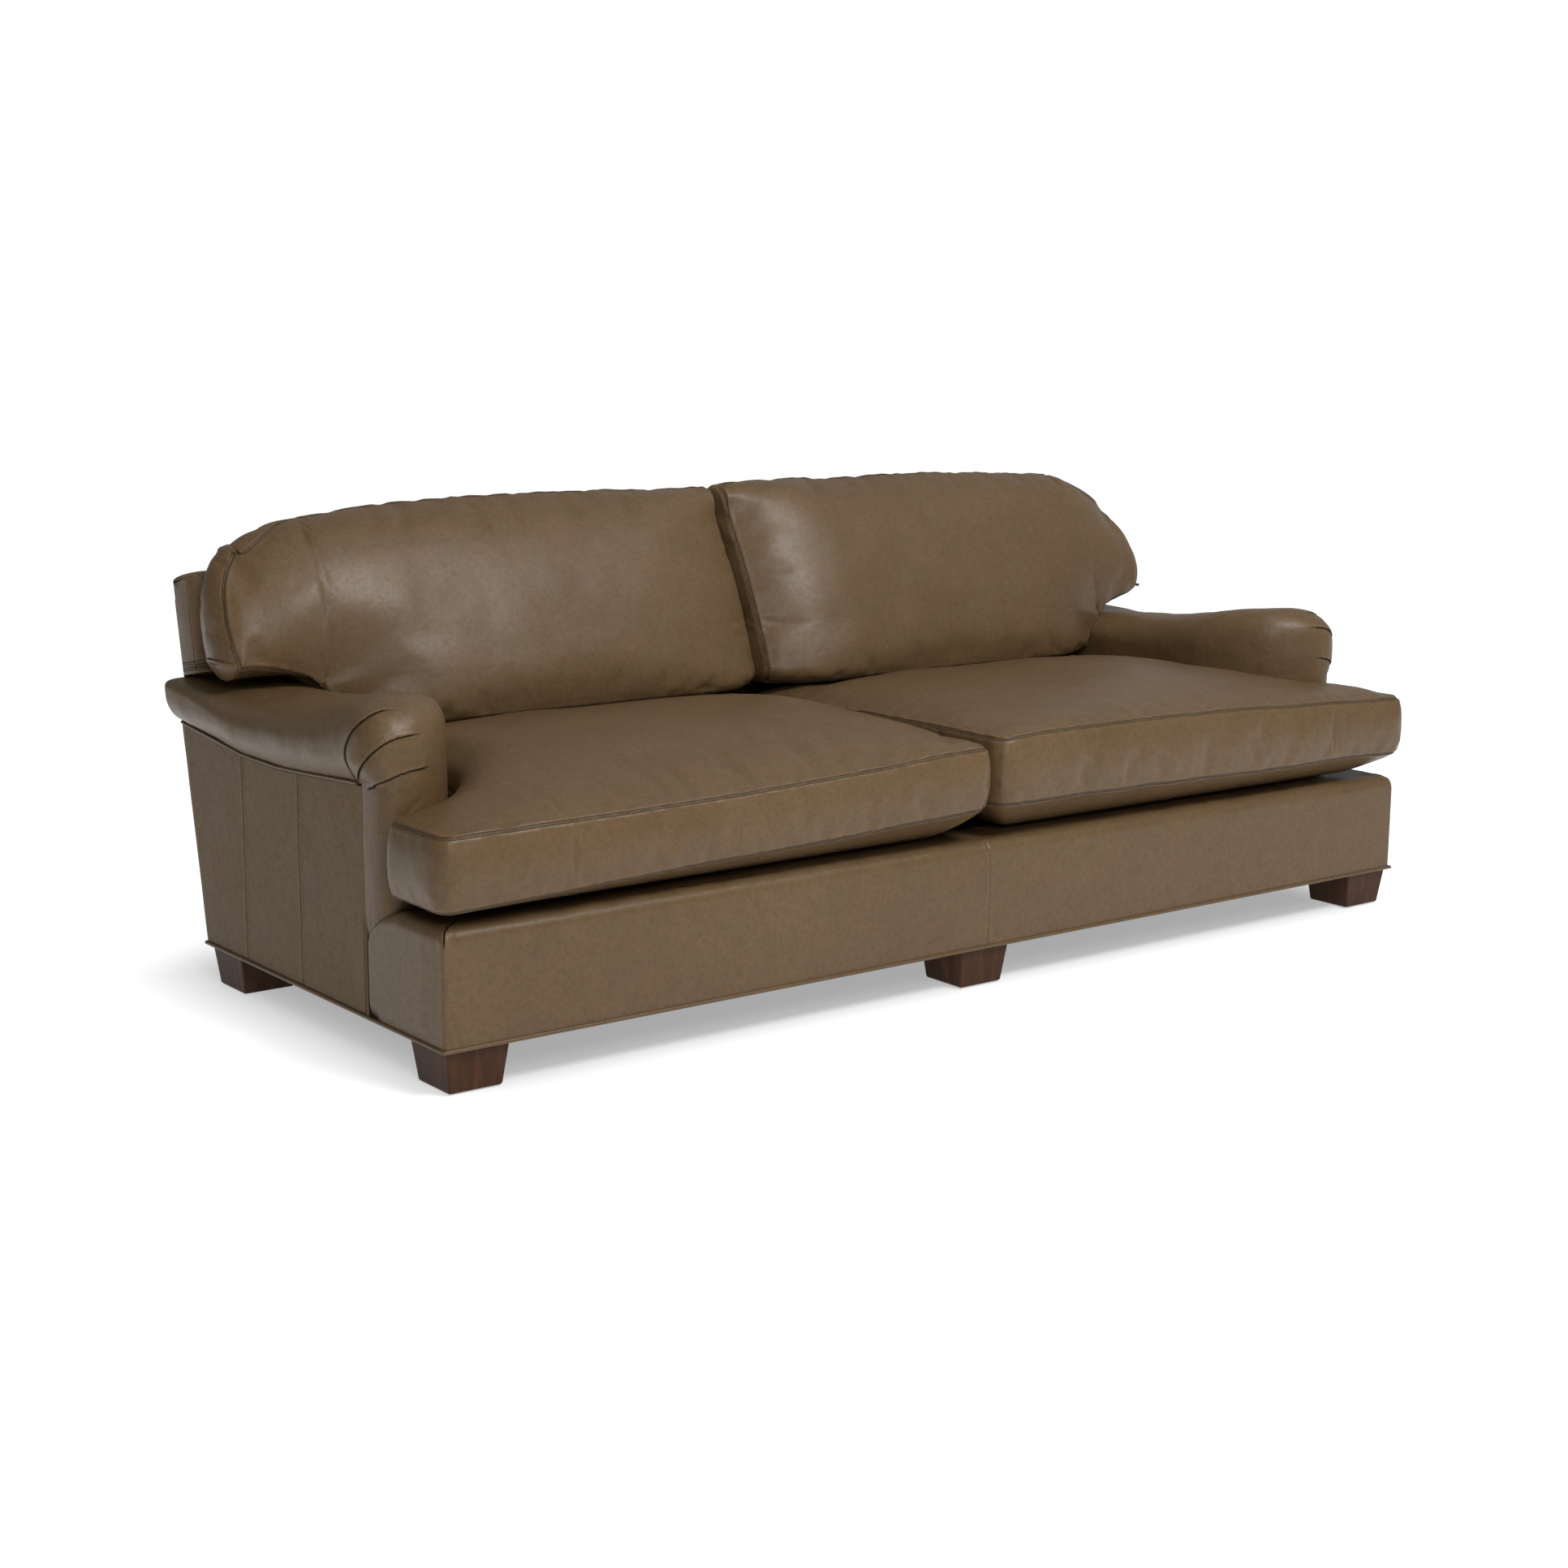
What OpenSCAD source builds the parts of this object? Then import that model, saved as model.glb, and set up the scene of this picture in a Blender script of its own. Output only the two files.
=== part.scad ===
// Two-cushion English-arm leather sofa.
// Frame: X right, Y back, Z up; origin on the floor under the middle of the sofa. Units: mm.

/* [Overall] */
// Width over the outside arm panels
base_w = 2324; // [2200:2:2440]
// Height of the feet with their glides
foot_h = 83; // [70:1:110]
// Angle by which the back leans
rake = 11.13; // [9:0.01:12]
// Thickness of the leather
leather_t = 2; // [1.2:0.1:2.4]

/* [Arms] */
// Width of each arm from the inside face to the outside panel
arm_w = 212; // [190:1:230]
// How far the arm roll stands out beyond the outside panel
roll_out = 28; // [18:1:32]
// Radius of the welt cord under the arm roll
welt_r = 3; // [2:0.1:3.5]

/* [Seat cushions] */
// Height of the seat seam above the floor, on the front face
seat_seam_z = 446; // [440:1:452]
// Crest height of the seat crown above the floor
seat_crest_z = 505; // [490:1:510]
// Gap between a seat cushion and the arm beside it
seat_gap = 6; // [4:0.5:12]
// Gap between the two seat cushions
middle_gap = 3; // [2:0.5:6]

/* [Back cushions] */
// Top of the back cushion crown above the floor
back_crest_z = 897; // [885:1:910]
// Gap under the back cushions
back_gap = 3; // [2:0.5:6]

/* [Feet] */
// Side of a foot at the floor
foot_bottom_w = 100; // [80:1:112]
// Side of a foot under the base
foot_top_w = 120; // [112:1:120]
// Radius of the hanger bolts
bolt_r = 4; // [3:0.5:4.5]

/* [Frame and springs] */
// Thickness of the hardwood boards
board_t = 28; // [22:1:28]
// Number of seat springs
spring_n = 16; // [8:1:17]
// Thickness of the spring wire
wire_t = 3.6; // [3:0.1:4]

/* [Hidden] */

lt = leather_t;
hw = base_w/2;                 // outside panel face
xi = hw - arm_w;               // inside arm face
xo = hw + roll_out;            // outermost point of the arm roll
lift = foot_h - 83;            // everything above the feet moves with them
front_y = -488;                // front face of the front rail cover
back_y = 390;                  // foot of the outside back face
base_z = 79;                   // height of that foot, and of the base welt
hem_z = 82.6;                  // lower edge of the leather panels, just above the base welt
deck_z = 278;                  // top of the deck
tr = tan(rake);
glide_h = 2.5;
foot_x = hw - 66;
foot_yf = -422;
foot_yb = 321;
foot_places = [[-foot_x, foot_yf], [0, foot_yf], [foot_x, foot_yf],
               [-foot_x, foot_yb], [0, foot_yb], [foot_x, foot_yb]];

taupe = [0.40, 0.34, 0.27];
walnut = [0.20, 0.12, 0.08];
maple = [0.78, 0.66, 0.48];
foam = [0.93, 0.90, 0.80];
steel = [0.62, 0.63, 0.65];
black = [0.10, 0.10, 0.10];
kraft = [0.62, 0.50, 0.36];
jute = [0.70, 0.58, 0.40];

function rear_y(z) = back_y + (z - base_z)*tr;

// Height of the welt line and of the arm's top along the arm, y then z
welt_line = [[-216, 475], [-100, 468], [-10, 462], [80, 458], [210, 460], [340, 473], [478, 486]];
arm_top = [[-305, 572], [-300, 588], [-288, 602], [-268, 612], [-232, 617], [-160, 610], [-70, 595],
           [25, 580], [180, 569], [300, 564], [480, 558]];

function arc(cx, cy, r, a0, a1, n) = [for (i = [0:n]) let (a = a0 + (a1 - a0)*i/n) [cx + r*cos(a), cy + r*sin(a)]];

// Rounded-box section: x half size a, z half size b, squareness p
function ring_xz(xc, zc, a, b, p, n) = [for (i = [0:n - 1]) let (t = -360*i/n, c = cos(t), s = sin(t))
  [xc + a*sign(c)*pow(abs(c), 2/p), zc + b*sign(s)*pow(abs(s), 2/p)]];

// Closed skin through rings that all have the same number of points
module loft(rings) {
  n = len(rings[0]);
  m = len(rings);
  polyhedron(
    points = [for (r = rings) for (p = r) p],
    faces = concat(
      [[for (j = [0:n - 1]) j]],
      [for (i = [0:m - 2]) for (j = [0:n - 1]) each [
        [i*n + j, (i + 1)*n + j, (i + 1)*n + (j + 1)%n],
        [i*n + j, (i + 1)*n + (j + 1)%n, i*n + (j + 1)%n]]],
      [[for (j = [n - 1:-1:0]) (m - 1)*n + j]]),
    convexity = 6);
}

// Round cord of radius r along an open path
function unit(v) = v/norm(v);
function heading(path, i) = unit(path[min(i + 1, len(path) - 1)] - path[max(i - 1, 0)]);
module cord(path, r, n = 8) {
  loft([for (i = [0:len(path) - 1])
    let (d = heading(path, i), u = unit(cross(d, abs(d[2]) > 0.9 ? [1, 0, 0] : [0, 0, 1])), v = cross(d, u))
    [for (j = [0:n - 1]) path[i] + r*(cos(360*j/n)*u + sin(360*j/n)*v)]]);
}

module box(a, b) translate(a) cube(b - a);
module both() { children(); mirror([1, 0, 0]) children(); }
module up_with_feet() translate([0, 0, lift]) children();
// Frame of the leaning back: y is 0 on its rear face, z runs up along it
module lean() translate([0, back_y, base_z]) rotate([-rake, 0, 0]) children();
// A section drawn in y and z, run along x from x0 to x1
module along_x(x0, x1) translate([x0, 0, 0]) rotate([90, 0, 90]) linear_extrude(x1 - x0) children();
// An outline drawn in x and z, run along y from y0 to y1
module along_y(y0, y1) translate([0, y1, 0]) rotate([90, 0, 0]) linear_extrude(y1 - y0) children();

// ---------------------------------------------------------------- feet and their hardware
function foot_ring(z, w, c) = let (h = w/2) [
  [h, -h + c, z], [h, h - c, z], [h - c, h, z], [-h + c, h, z],
  [-h, h - c, z], [-h, -h + c, z], [-h + c, -h, z], [h - c, -h, z]];

module foot(place) {
  color(walnut) translate([place[0], place[1], 0]) difference() {
    loft([foot_ring(glide_h, foot_bottom_w - 3, 2), foot_ring(glide_h + 2.5, foot_bottom_w + 0.6, 2), foot_ring(foot_h, foot_top_w, 2)]);
    translate([0, 0, foot_h - 43]) cylinder(r = bolt_r + 0.1, h = 60, $fn = 32);
  }
}
module foot_front_left() foot(foot_places[0]);
module foot_front_center() foot(foot_places[1]);
module foot_front_right() foot(foot_places[2]);
module foot_back_left() foot(foot_places[3]);
module foot_back_center() foot(foot_places[4]);
module foot_back_right() foot(foot_places[5]);

module foot_glides() color(black) for (p = foot_places) translate([p[0], p[1], 0]) cylinder(r = 16, h = glide_h, $fn = 48);

module hanger_bolts() color(steel) up_with_feet() for (p = foot_places)
  translate([p[0], p[1], 41]) cylinder(r = bolt_r, h = 86, $fn = 32);

module tee_nuts() color(steel) up_with_feet() for (p = foot_places) translate([p[0], p[1], 0]) difference() {
  union() {
    translate([0, 0, 112]) cylinder(r = bolt_r + 1.4, h = 12, $fn = 32);
    translate([0, 0, 124]) cylinder(r = 11, h = 1.6, $fn = 48);
  }
  translate([0, 0, 100]) cylinder(r = bolt_r + 0.1, h = 60, $fn = 32);
}

// ---------------------------------------------------------------- hardwood frame
dowel_r = 4.5;
module dowel_y(x, y, z, len) translate([x, y + len/2, z]) rotate([90, 0, 0]) cylinder(r = dowel_r, h = len, $fn = 32);
module dowel_x(x, y, z, len) translate([x - len/2, y, z]) rotate([0, 90, 0]) cylinder(r = dowel_r, h = len, $fn = 32);
module dowel_z(x, y, z, len) translate([x, y, z - len/2]) cylinder(r = dowel_r, h = len, $fn = 32);
side_x = hw - 6 - board_t;     // inside face of the side rails
rail_in = front_y + lt + board_t;
module dowels() {
  both() for (z = [120, 195]) dowel_y(side_x + board_t/2, rail_in, z, 40);
  for (x = [-540, 0, 540]) for (z = [145, 185]) dowel_y(x, rail_in, z, 36);
  both() dowel_z(xi + 130, -247, 246, 40);
  both() dowel_z(xi + 130, -247, 511, 28);
}
module frame_dowels() color(maple) up_with_feet() dowels();

module front_rail() color(maple) up_with_feet() difference() {
  box([-hw + 4, front_y + lt, 84], [hw - 4, rail_in, 250]);
  dowels();
}
module side_rails() color(maple) up_with_feet() difference() {
  both() box([side_x, rail_in + 0.5, 84], [side_x + board_t, 354, 232]);
  dowels();
}
module seat_stretchers() color(maple) up_with_feet() difference() {
  for (x = [-540, 0, 540]) box([x - 14, rail_in + 0.5, 128], [x + 14, 354, 205]);
  dowels();
}
// The back rail runs between and outside the back posts, in their leaning plane
module back_rail() color(maple) up_with_feet() lean() for (s = [[-side_x - board_t + 1, -941], [-899, -21], [21, 899], [941, side_x + board_t - 1]])
  box([s[0], -34, 6], [s[1], -34 + board_t, 156]);

module corner_blocks() color(maple) up_with_feet() difference() {
  union() {
    both() box([foot_x - 62, rail_in, 84], [side_x, rail_in + 95, 124]);
    both() box([foot_x - 62, 262, 84], [side_x, 354, 124]);
    box([-55, rail_in, 84], [55, rail_in + 95, 124]);
    box([-55, 262, 84], [55, 354, 124]);
  }
  for (p = foot_places) translate([p[0], p[1], 0]) {
    translate([0, 0, 80]) cylinder(r = bolt_r + 0.1, h = 60, $fn = 32);
    translate([0, 0, 112]) cylinder(r = bolt_r + 1.4, h = 30, $fn = 32);
  }
}

module arm_post_solid() box([xi + 84, -261, 233], [xi + 176, -233, 498]);
module arm_top_solid() difference() {
  box([xi + 84, -262, 498], [xi + 176, 470, 526]);
  lean() box([-3000, -34, -100], [3000, 200, 900]);
}
// The tacking rail stands off the post on a short return, because the arm's front curves round it
module arm_tack_solid() {
  box([xi + 26, -160, 262], [xi + 50, 330, 302]);
  box([xi + 26, -160, 262], [xi + 112, -136, 302]);
  box([xi + 88, -233, 262], [xi + 112, -136, 302]);
}
module arm_posts() color(maple) up_with_feet() difference() { both() arm_post_solid(); dowels(); }
module arm_rails() color(maple) up_with_feet() difference() { both() { arm_top_solid(); arm_tack_solid(); } dowels(); }

module back_posts() color(maple) up_with_feet() lean() for (x = [-920, 0, 920])
  box([x - 20, -34, 6], [x + 20, -34 + board_t, 632]);
module back_top_rail() color(maple) up_with_feet() lean() box([-hw + 24, -34, 632.3], [hw - 24, -34 + board_t, 660]);
module back_tack_rail() color(maple) up_with_feet() lean() for (s = [-1, 1])
  box([s > 0 ? 21 : -899, -34, 225], [s > 0 ? 899 : -21, -34 + board_t, 265]);

// ---------------------------------------------------------------- springs, webbing and cloths
spring_pitch = 112;
spring_y0 = rail_in - 6;
spring_y1 = 345;
waves = 19;
// Zigzag of one spring: centre line, then the two edges of its wire
function zig(t) = [21*sin(180*waves*t), spring_y0 + 14 + (spring_y1 - spring_y0 - 28)*t];
function zig_edge(t, s) = let (d = unit(zig(min(t + 0.002, 1)) - zig(max(t - 0.002, 0)))) zig(t) + s*wire_t/2*[d[1], -d[0]];
zig_n = waves*4;
module spring(x) translate([x, 0, 253]) linear_extrude(wire_t) polygon(concat(
  [for (i = [0:zig_n]) zig_edge(i/zig_n, 1)],
  [for (i = [zig_n:-1:0]) zig_edge(i/zig_n, -1)]));
module spring_bars(x) for (y = [spring_y0 + 14, spring_y1 - 14]) box([x - 16, y - wire_t/2, 253], [x + 16, y + wire_t/2, 253 + wire_t]);
spring_xs = [for (i = [0:spring_n - 1]) (i - (spring_n - 1)/2)*spring_pitch*15/max(spring_n - 1, 1)];
module seat_springs() color(steel) up_with_feet() for (x = spring_xs) { spring(x); spring_bars(x); }
module spring_clips() color(steel) up_with_feet() for (x = spring_xs) for (y = [spring_y0 + 14, spring_y1 - 14])
  difference() {
    box([x - 9, y - 7, 250.2], [x + 9, y + 7, 259]);
    box([x - 20, y - 4, 252.6], [x + 20, y + 4, 257.4]);
    box([x - 20, y > 0 ? y - 20 : y, 252.6], [x + 20, y > 0 ? y : y + 20, 257.4]);
  }
module spring_tie_wires() color(steel) up_with_feet() for (y = [-240, -50, 140])
  translate([-860, y, 251]) rotate([0, 90, 0]) cylinder(r = 1.6, h = 1720, $fn = 24);

module back_webbing() color(jute) up_with_feet() lean() for (x = [-810, -640, -470, -300, -130, 130, 300, 470, 640, 810])
  box([x - 25, -36.6, 230], [x + 25, -34.4, 655]);

module deck_plan(x_in, x_out, y0, y1) polygon([[-x_out, y0], [x_out, y0], [x_out, -309], [x_in, -309], [x_in, y1],
  [-x_in, y1], [-x_in, -309], [-x_out, -309]]);
module deck_pad() color(foam) up_with_feet() translate([0, 0, 260]) linear_extrude(deck_z - 2 - 260) deck_plan(xi - 5, hw - 4, -372, 330);
module deck_cloth() color(black) up_with_feet() translate([0, 0, deck_z - 2]) linear_extrude(2) deck_plan(xi - 5, hw - 4, -372, 330);
module dust_cover() color(black) up_with_feet() difference() {
  box([-hw + 8, front_y + 6, 83], [hw - 8, back_y - 10, 84]);
  for (p = foot_places) translate([p[0], p[1], 70]) cylinder(r = 7, h = 30, $fn = 32);
}

// ---------------------------------------------------------------- front border
border_r = 25;
function border_arc(g, n) = arc(front_y + border_r, 255, border_r - g, 180, 90, n);
module border_section(g) polygon(concat([[front_y + g, hem_z]], border_arc(g, 8), [[-373, 280 - g], [-373, hem_z]]));
module front_edge_roll() color(foam) up_with_feet() difference() {
  along_x(-hw + lt, hw - lt) border_section(lt);
  box([-3000, -600, 0], [3000, rail_in, 250]);
  box([-3000, -600, 0], [3000, 0, 260]);
}
module front_border_cover() color(taupe) up_with_feet() {
  difference() {
    along_x(-hw, hw) border_section(0);
    along_x(-hw + lt, hw - lt) border_section(lt);
    box([-hw + lt, front_y + lt, 0], [hw - lt, 0, 280 - lt]);
    box([-3000, -374, 0], [3000, 0, 300]);
    for (s = [-1, 1]) translate([s*0, front_y, 0]) rotate([0, 0, 45]) cube([0.9, 0.9, 700], center = true);
  }
  both() along_x(hw - lt, hw) polygon([[-374, hem_z], [-240, hem_z], [-240, 205], [-262, 231], [-308, 231], [-308, 262], [-320, 276], [-336, 280], [-374, 280]]);
}

// ---------------------------------------------------------------- arms
ys_roll = [-303, -299, -291, -279, -263, -243, -216, -190, -160, -125, -80, -20, 50, 120, 210, 320, 420];
// Plan of the arm's front: the inner side sweeps round in a wide curve, the outer corner is tight
function turn(t, p) = pow(1 - pow(max(0, min(1, t)), p), 1/p);
function in_x(y) = xi + 167 - 167*turn((-80 - y)/225.6, 1.75);
function roll_out_x(y) = xo - 73 + 73*turn((-235 - y)/70.6, 2.6);
function col_out_x(y) = hw - 42 + 42*turn((-250 - y)/55.6, 2.7);
function roll_ring(y, g, last = false) = let (
    za = lookup(y, arm_top) + g,
    zb = (y < -216 ? 440 : lookup(y, welt_line) - 6) - g,
    xc = (in_x(y) + roll_out_x(y))/2, a = (roll_out_x(y) - in_x(y))/2 - lt + g)
  [for (p = ring_xz(xc, (za + zb)/2, a, (za + zb)/2 - zb, 2.3, 28))
    [p[0], last ? rear_y(p[1]) - 7 : y - (y < -216 ? g : 0), p[1]]];
module arm_roll(g) loft(concat([for (y = ys_roll) roll_ring(y, g)], [roll_ring(480, g, true)]));
ys_col = [-305, -302, -296, -286, -272, -256, -238];
module arm_column(g) loft([for (y = ys_col)
  let (xc = (in_x(y) + col_out_x(y))/2, a = (col_out_x(y) - in_x(y))/2 - lt + g)
  [for (p = ring_xz(xc, (233 + 545)/2, a, (545 - 233)/2, 7, 28)) [p[0], y - (y < -240 ? g : 0), p[1]]]]);
wall_ys = concat([for (i = [0:16]) -240 + 10*i], [333]);
module arm_wall(g) translate([0, 0, 236]) linear_extrude(264) polygon(concat(
  [for (y = wall_ys) [in_x(y) + lt - g, y]],
  [for (i = [len(wall_ys) - 1:-1:0]) [in_x(wall_ys[i]) + 25, wall_ys[i]]]));
module arm_inside() translate([0, 0, 230]) linear_extrude(222) polygon(concat(
  [[in_x(-237.9) + 20, -237.9]], [for (i = [1:len(wall_ys) - 1]) [in_x(wall_ys[i]) + 20, wall_ys[i]]], [[xi + 20, 700], [hw - lt, 700], [hw - lt, -237.9]]));
module arm_form(g) { arm_roll(g); arm_column(g); arm_wall(g); }
module arm_pad() difference() {
  arm_form(0);
  arm_post_solid();
  arm_top_solid();
  arm_tack_solid();
  lean() box([-3000, -91, -100], [xi + 60, 200, 470]);
}
module arm_cover() resize([0, 0, 0]) difference() {
  arm_form(lt);
  arm_form(0);
  arm_post_solid();
  arm_inside();
  box([xi + lt, -3000, 0], [hw - lt, 3000, 245]);
}
module arm_pad_right() color(foam) up_with_feet() arm_pad();
module arm_pad_left() color(foam) up_with_feet() mirror([1, 0, 0]) arm_pad();
module arm_cover_right() color(taupe) up_with_feet() arm_cover();
module arm_cover_left() color(taupe) up_with_feet() mirror([1, 0, 0]) arm_cover();

// Outside arm panel: below the welt line, from the front fold to the leaning rear edge
module panel_outline(inset, drop) polygon(concat(
  [[-236 + inset, hem_z + inset], [-236 + inset, 462 - drop], [-224 + inset/2, 474 - drop]],
  [for (p = welt_line) if (p[0] > -216 && p[0] < 400) [p[0], p[1] - drop]],
  [[rear_y(484 - drop) - 2 - inset, 484 - drop], [rear_y(hem_z + inset) - 2 - inset, hem_z + inset]]));
module arm_boards() color(kraft) up_with_feet() both() along_x(hw - 6, hw - lt) panel_outline(5, 12);
module outside_arm_cover() difference() {
  along_x(hw - lt, hw) panel_outline(0, 3);
  for (y = [0, 218]) translate([hw, y, 0]) rotate([0, 0, 45]) cube([1.2, 1.2, 1400], center = true);
}
module outside_arm_cover_right() color(taupe) up_with_feet() outside_arm_cover();
module outside_arm_cover_left() color(taupe) up_with_feet() mirror([1, 0, 0]) outside_arm_cover();

arm_welt_path = [for (i = [0:24]) let (y = -216 + 690*i/24) [hw + 1.2, min(y, rear_y(480) - 5), lookup(y, welt_line)]];
module arm_welts() color(taupe) up_with_feet() both() cord(arm_welt_path, welt_r);

wz = base_z;
wr = 3.5;
wx = hw + 1;
wf = front_y - 1;
wb = back_y + 1;
module base_welt() color(taupe) up_with_feet() {
  for (y = [wf, wb]) translate([-wx, y, wz]) rotate([0, 90, 0]) cylinder(r = wr, h = 2*wx, $fn = 32);
  for (x = [-wx, wx]) translate([x, wb, wz]) rotate([90, 0, 0]) cylinder(r = wr, h = wb - wf, $fn = 32);
  for (x = [-wx, wx]) for (y = [wf, wb]) translate([x, y, wz]) sphere(r = wr, $fn = 32);
}

// ---------------------------------------------------------------- back
wing_z = 497;
back_top = 686;
module back_section(g) polygon(concat(
  [[5, 170], [-90 + g, 170]],
  arc(-90 + 32, back_top - 32, 32 - g, 180, 90, 6),
  arc(-22, back_top - 22, 22 - g, 90, 20, 5),
  [[5, back_top - 40]]));
module back_face(g) polygon([
  [-xi + 5 + g, 100], [-xi + 5 + g, wing_z + g], [-hw + 14 + g, wing_z + g], [-hw + 14 + g, 900],
  [hw - 14 - g, 900], [hw - 14 - g, wing_z + g], [xi - 5 - g, wing_z + g], [xi - 5 - g, 100]]);
module back_form(g) lean() intersection() {
  along_x(-2000, 2000) back_section(g);
  along_y(-200, 200) back_face(g);
}
module back_pad() color(foam) up_with_feet() difference() {
  back_form(lt);
  lean() box([-3000, -38, 0], [3000, 100, 660]);
  lean() box([-3000, -6, 0], [3000, 100, 900]);
}
module inside_back_cover() color(taupe) up_with_feet() difference() {
  back_form(0);
  back_form(lt);
  lean() box([-3000, -lt - 0.01, 0], [3000, 100, 640]);
  lean() box([-hw + 26, -6.1, 0], [hw - 26, 100, 655.2]);
}
module back_board() color(kraft) up_with_feet() lean() {
  box([-hw + 12, -6, 6], [hw - 12, -lt, 395]);
  box([-hw + 30, -6, 395], [hw - 30, -lt, 655]);
}
module outside_back_cover() color(taupe) up_with_feet() lean() difference() {
  along_y(-lt, 0) polygon([[-hw + 2, 3.7], [hw - 2, 3.7], [hw - 2, 392], [hw - 14, 404], [hw - 14, 639.5], [-hw + 14, 639.5], [-hw + 14, 404], [-hw + 2, 392]]);
  for (x = [-387, 387]) translate([x, 0, 0]) rotate([0, 0, 45]) cube([1.2, 1.2, 1400], center = true);
}

// ---------------------------------------------------------------- seat cushions
// Built on the right: plan, side section and front section meet in one crowned, boxed form
ear_y = -319;
seat_back_y = 330;
module seat_plan(g) polygon(concat(
  [[middle_gap/2 + g, seat_back_y - g], [middle_gap/2 + g, -500]],
  arc(middle_gap/2 + 18, -502, 18 - g, 180, 270, 4),
  arc(hw + 6 - 40, -520 + 40, 40 - g, 270, 360, 6),
  arc(hw + 6 - 22, ear_y - 22, 22 - g, 0, 90, 5),
  [[xi - seat_gap - g, ear_y - g], [xi - seat_gap - g, seat_back_y - g]]));
module seat_side(g) polygon([
  [-480, 286 + g], [-506 + g, 304], [-515 + g, 326], [-520 + g, 350], [-520 + g, 400], [-514 + g, 430], [-505, seat_seam_z - g],
  [-470, seat_seam_z + 16 - g], [-400, seat_seam_z + 34 - g], [-300, seat_seam_z + 50 - g], [-200, seat_crest_z - 1 - g], [-100, seat_crest_z - g],
  [0, seat_crest_z - 5 - g], [80, seat_crest_z - 15 - g], [136, 479 - g], [250, 476 - g], [310, 466 - g],
  [seat_back_y - g, 452], [seat_back_y - g, 316], [306, 286 + g]]);
module seat_front(g) polygon([
  [0, 290 + g], [30, 284 + g], [1080, 284 + g], [hw - 40, 287 + g], [hw - 4, 310], [2000, 330], [2000, 430], [hw - 10, 446 - g],
  [hw - 60, 462 - g], [hw - 160, 478 - g], [950, 488 - g], [800, 500 - g], [600, seat_crest_z - g], [400, seat_crest_z - g], [200, seat_crest_z - 4 - g], [80, 489 - g], [20, 470 - g], [0, 460 - g]]);
module seat_form(g) intersection() {
  linear_extrude(900) seat_plan(g);
  along_x(-10, 2000) seat_side(g);
  along_y(-600, 600) seat_front(g);
}
sz_z = 374;                       // height of the seat zipper
sz_x0 = 70;
sz_x1 = xi - 70;
module seat_groove(grow) box([sz_x0 - 6 - grow, seat_back_y - 6 - grow, sz_z - 9 - grow], [sz_x1 + 6 + grow, seat_back_y + 20, sz_z + 9 + grow]);
module seat_core() difference() { seat_form(lt); seat_groove(lt); }
module seat_cover() difference() {
  seat_form(0);
  difference() { seat_form(lt); seat_groove(lt); }
  seat_groove(0);
}
module seat_zipper() {
  box([sz_x0, seat_back_y - 6, sz_z - 8], [sz_x1, seat_back_y - 5, sz_z + 8]);
  box([sz_x0, seat_back_y - 5, sz_z - 2.2], [sz_x1, seat_back_y - 3.2, sz_z + 2.2]);
}
// The slider bridges the teeth with a small running gap and carries a hanging tab
module seat_pull() translate([sz_x1 - 12, seat_back_y, sz_z]) {
  difference() {
    box([-6, -4.6, -5], [6, -0.8, 5]);
    box([-7, -5, -2.6], [7, -2.8, 2.6]);
  }
  box([-3, -0.8, -2], [3, 0.4, 2]);
  difference() {
    box([-3.5, 0.4, -26], [3.5, 1.8, 3]);
    translate([0, 5, -22]) rotate([90, 0, 0]) cylinder(r = 1.6, h = 10, $fn = 24);
  }
}
module seat_core_right() color(foam) up_with_feet() seat_core();
module seat_core_left() color(foam) up_with_feet() mirror([1, 0, 0]) seat_core();
module seat_cover_right() color(taupe) up_with_feet() seat_cover();
module seat_cover_left() color(taupe) up_with_feet() mirror([1, 0, 0]) seat_cover();
module seat_zipper_right() color(black) up_with_feet() seat_zipper();
module seat_zipper_left() color(black) up_with_feet() mirror([1, 0, 0]) seat_zipper();
module seat_zip_pull_right() color(steel) up_with_feet() seat_pull();
module seat_zip_pull_left() color(steel) up_with_feet() mirror([1, 0, 0]) seat_pull();

// ---------------------------------------------------------------- back cushions
bz = 479 + back_gap + 2;          // underside of the back cushions
ear_z = 584;                      // underside of the part over the arm
module back_outline(g) polygon(concat(
  [[middle_gap/2 + g, 800], [middle_gap/2 + g, bz + g]],
  [[xi - 8 - g - 12, bz + g], [xi - 8 - g, bz + 12]],
  [[xi - 8 - g, ear_z - 12 + g], [xi + 4 - g, ear_z + g]],
  arc(hw + 3 - 26, ear_z + 26, 26 - g, 270, 360, 5),
  [[hw + 4 - g, 650], [hw - 2 - g, 700], [hw - 17 - g, 750], [hw - 44 - g, 796 - g], [hw - 82 - g, 828 - g], [hw - 135, 850 - g], [hw - 190, 862 - g],
   [hw - 290, 873 - g], [hw - 430, 884 - g], [720 - 150, 893 - g], [400, back_crest_z - g], [200, 893 - g], [60, 886 - g], [middle_gap/2 + 14, 876 - g]]));
function cushion_rear(z) = rear_y(z) - 93/cos(rake);
module back_side(g) polygon([
  [148, bz + g], [146 + g, bz + 12], [156 + g, 540], [184 + g, 610], [226 + g, 700], [276 + g, 790], [312 + g, 848], [342 + g, 878],
  [370, back_crest_z - 5 - g], [400, back_crest_z - g], [430, back_crest_z - 8 - g], [450 - g, 872], [cushion_rear(860) - g, 850], [cushion_rear(500) - g, 500], [cushion_rear(500) - 14, bz + g]]);
module back_cushion_form(g) intersection() {
  along_y(-600, 600) back_outline(g);
  along_x(-10, 2000) back_side(g);
}
bzip_y = 268;
bzip_x0 = 70;
bzip_x1 = xi - 80;
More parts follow.
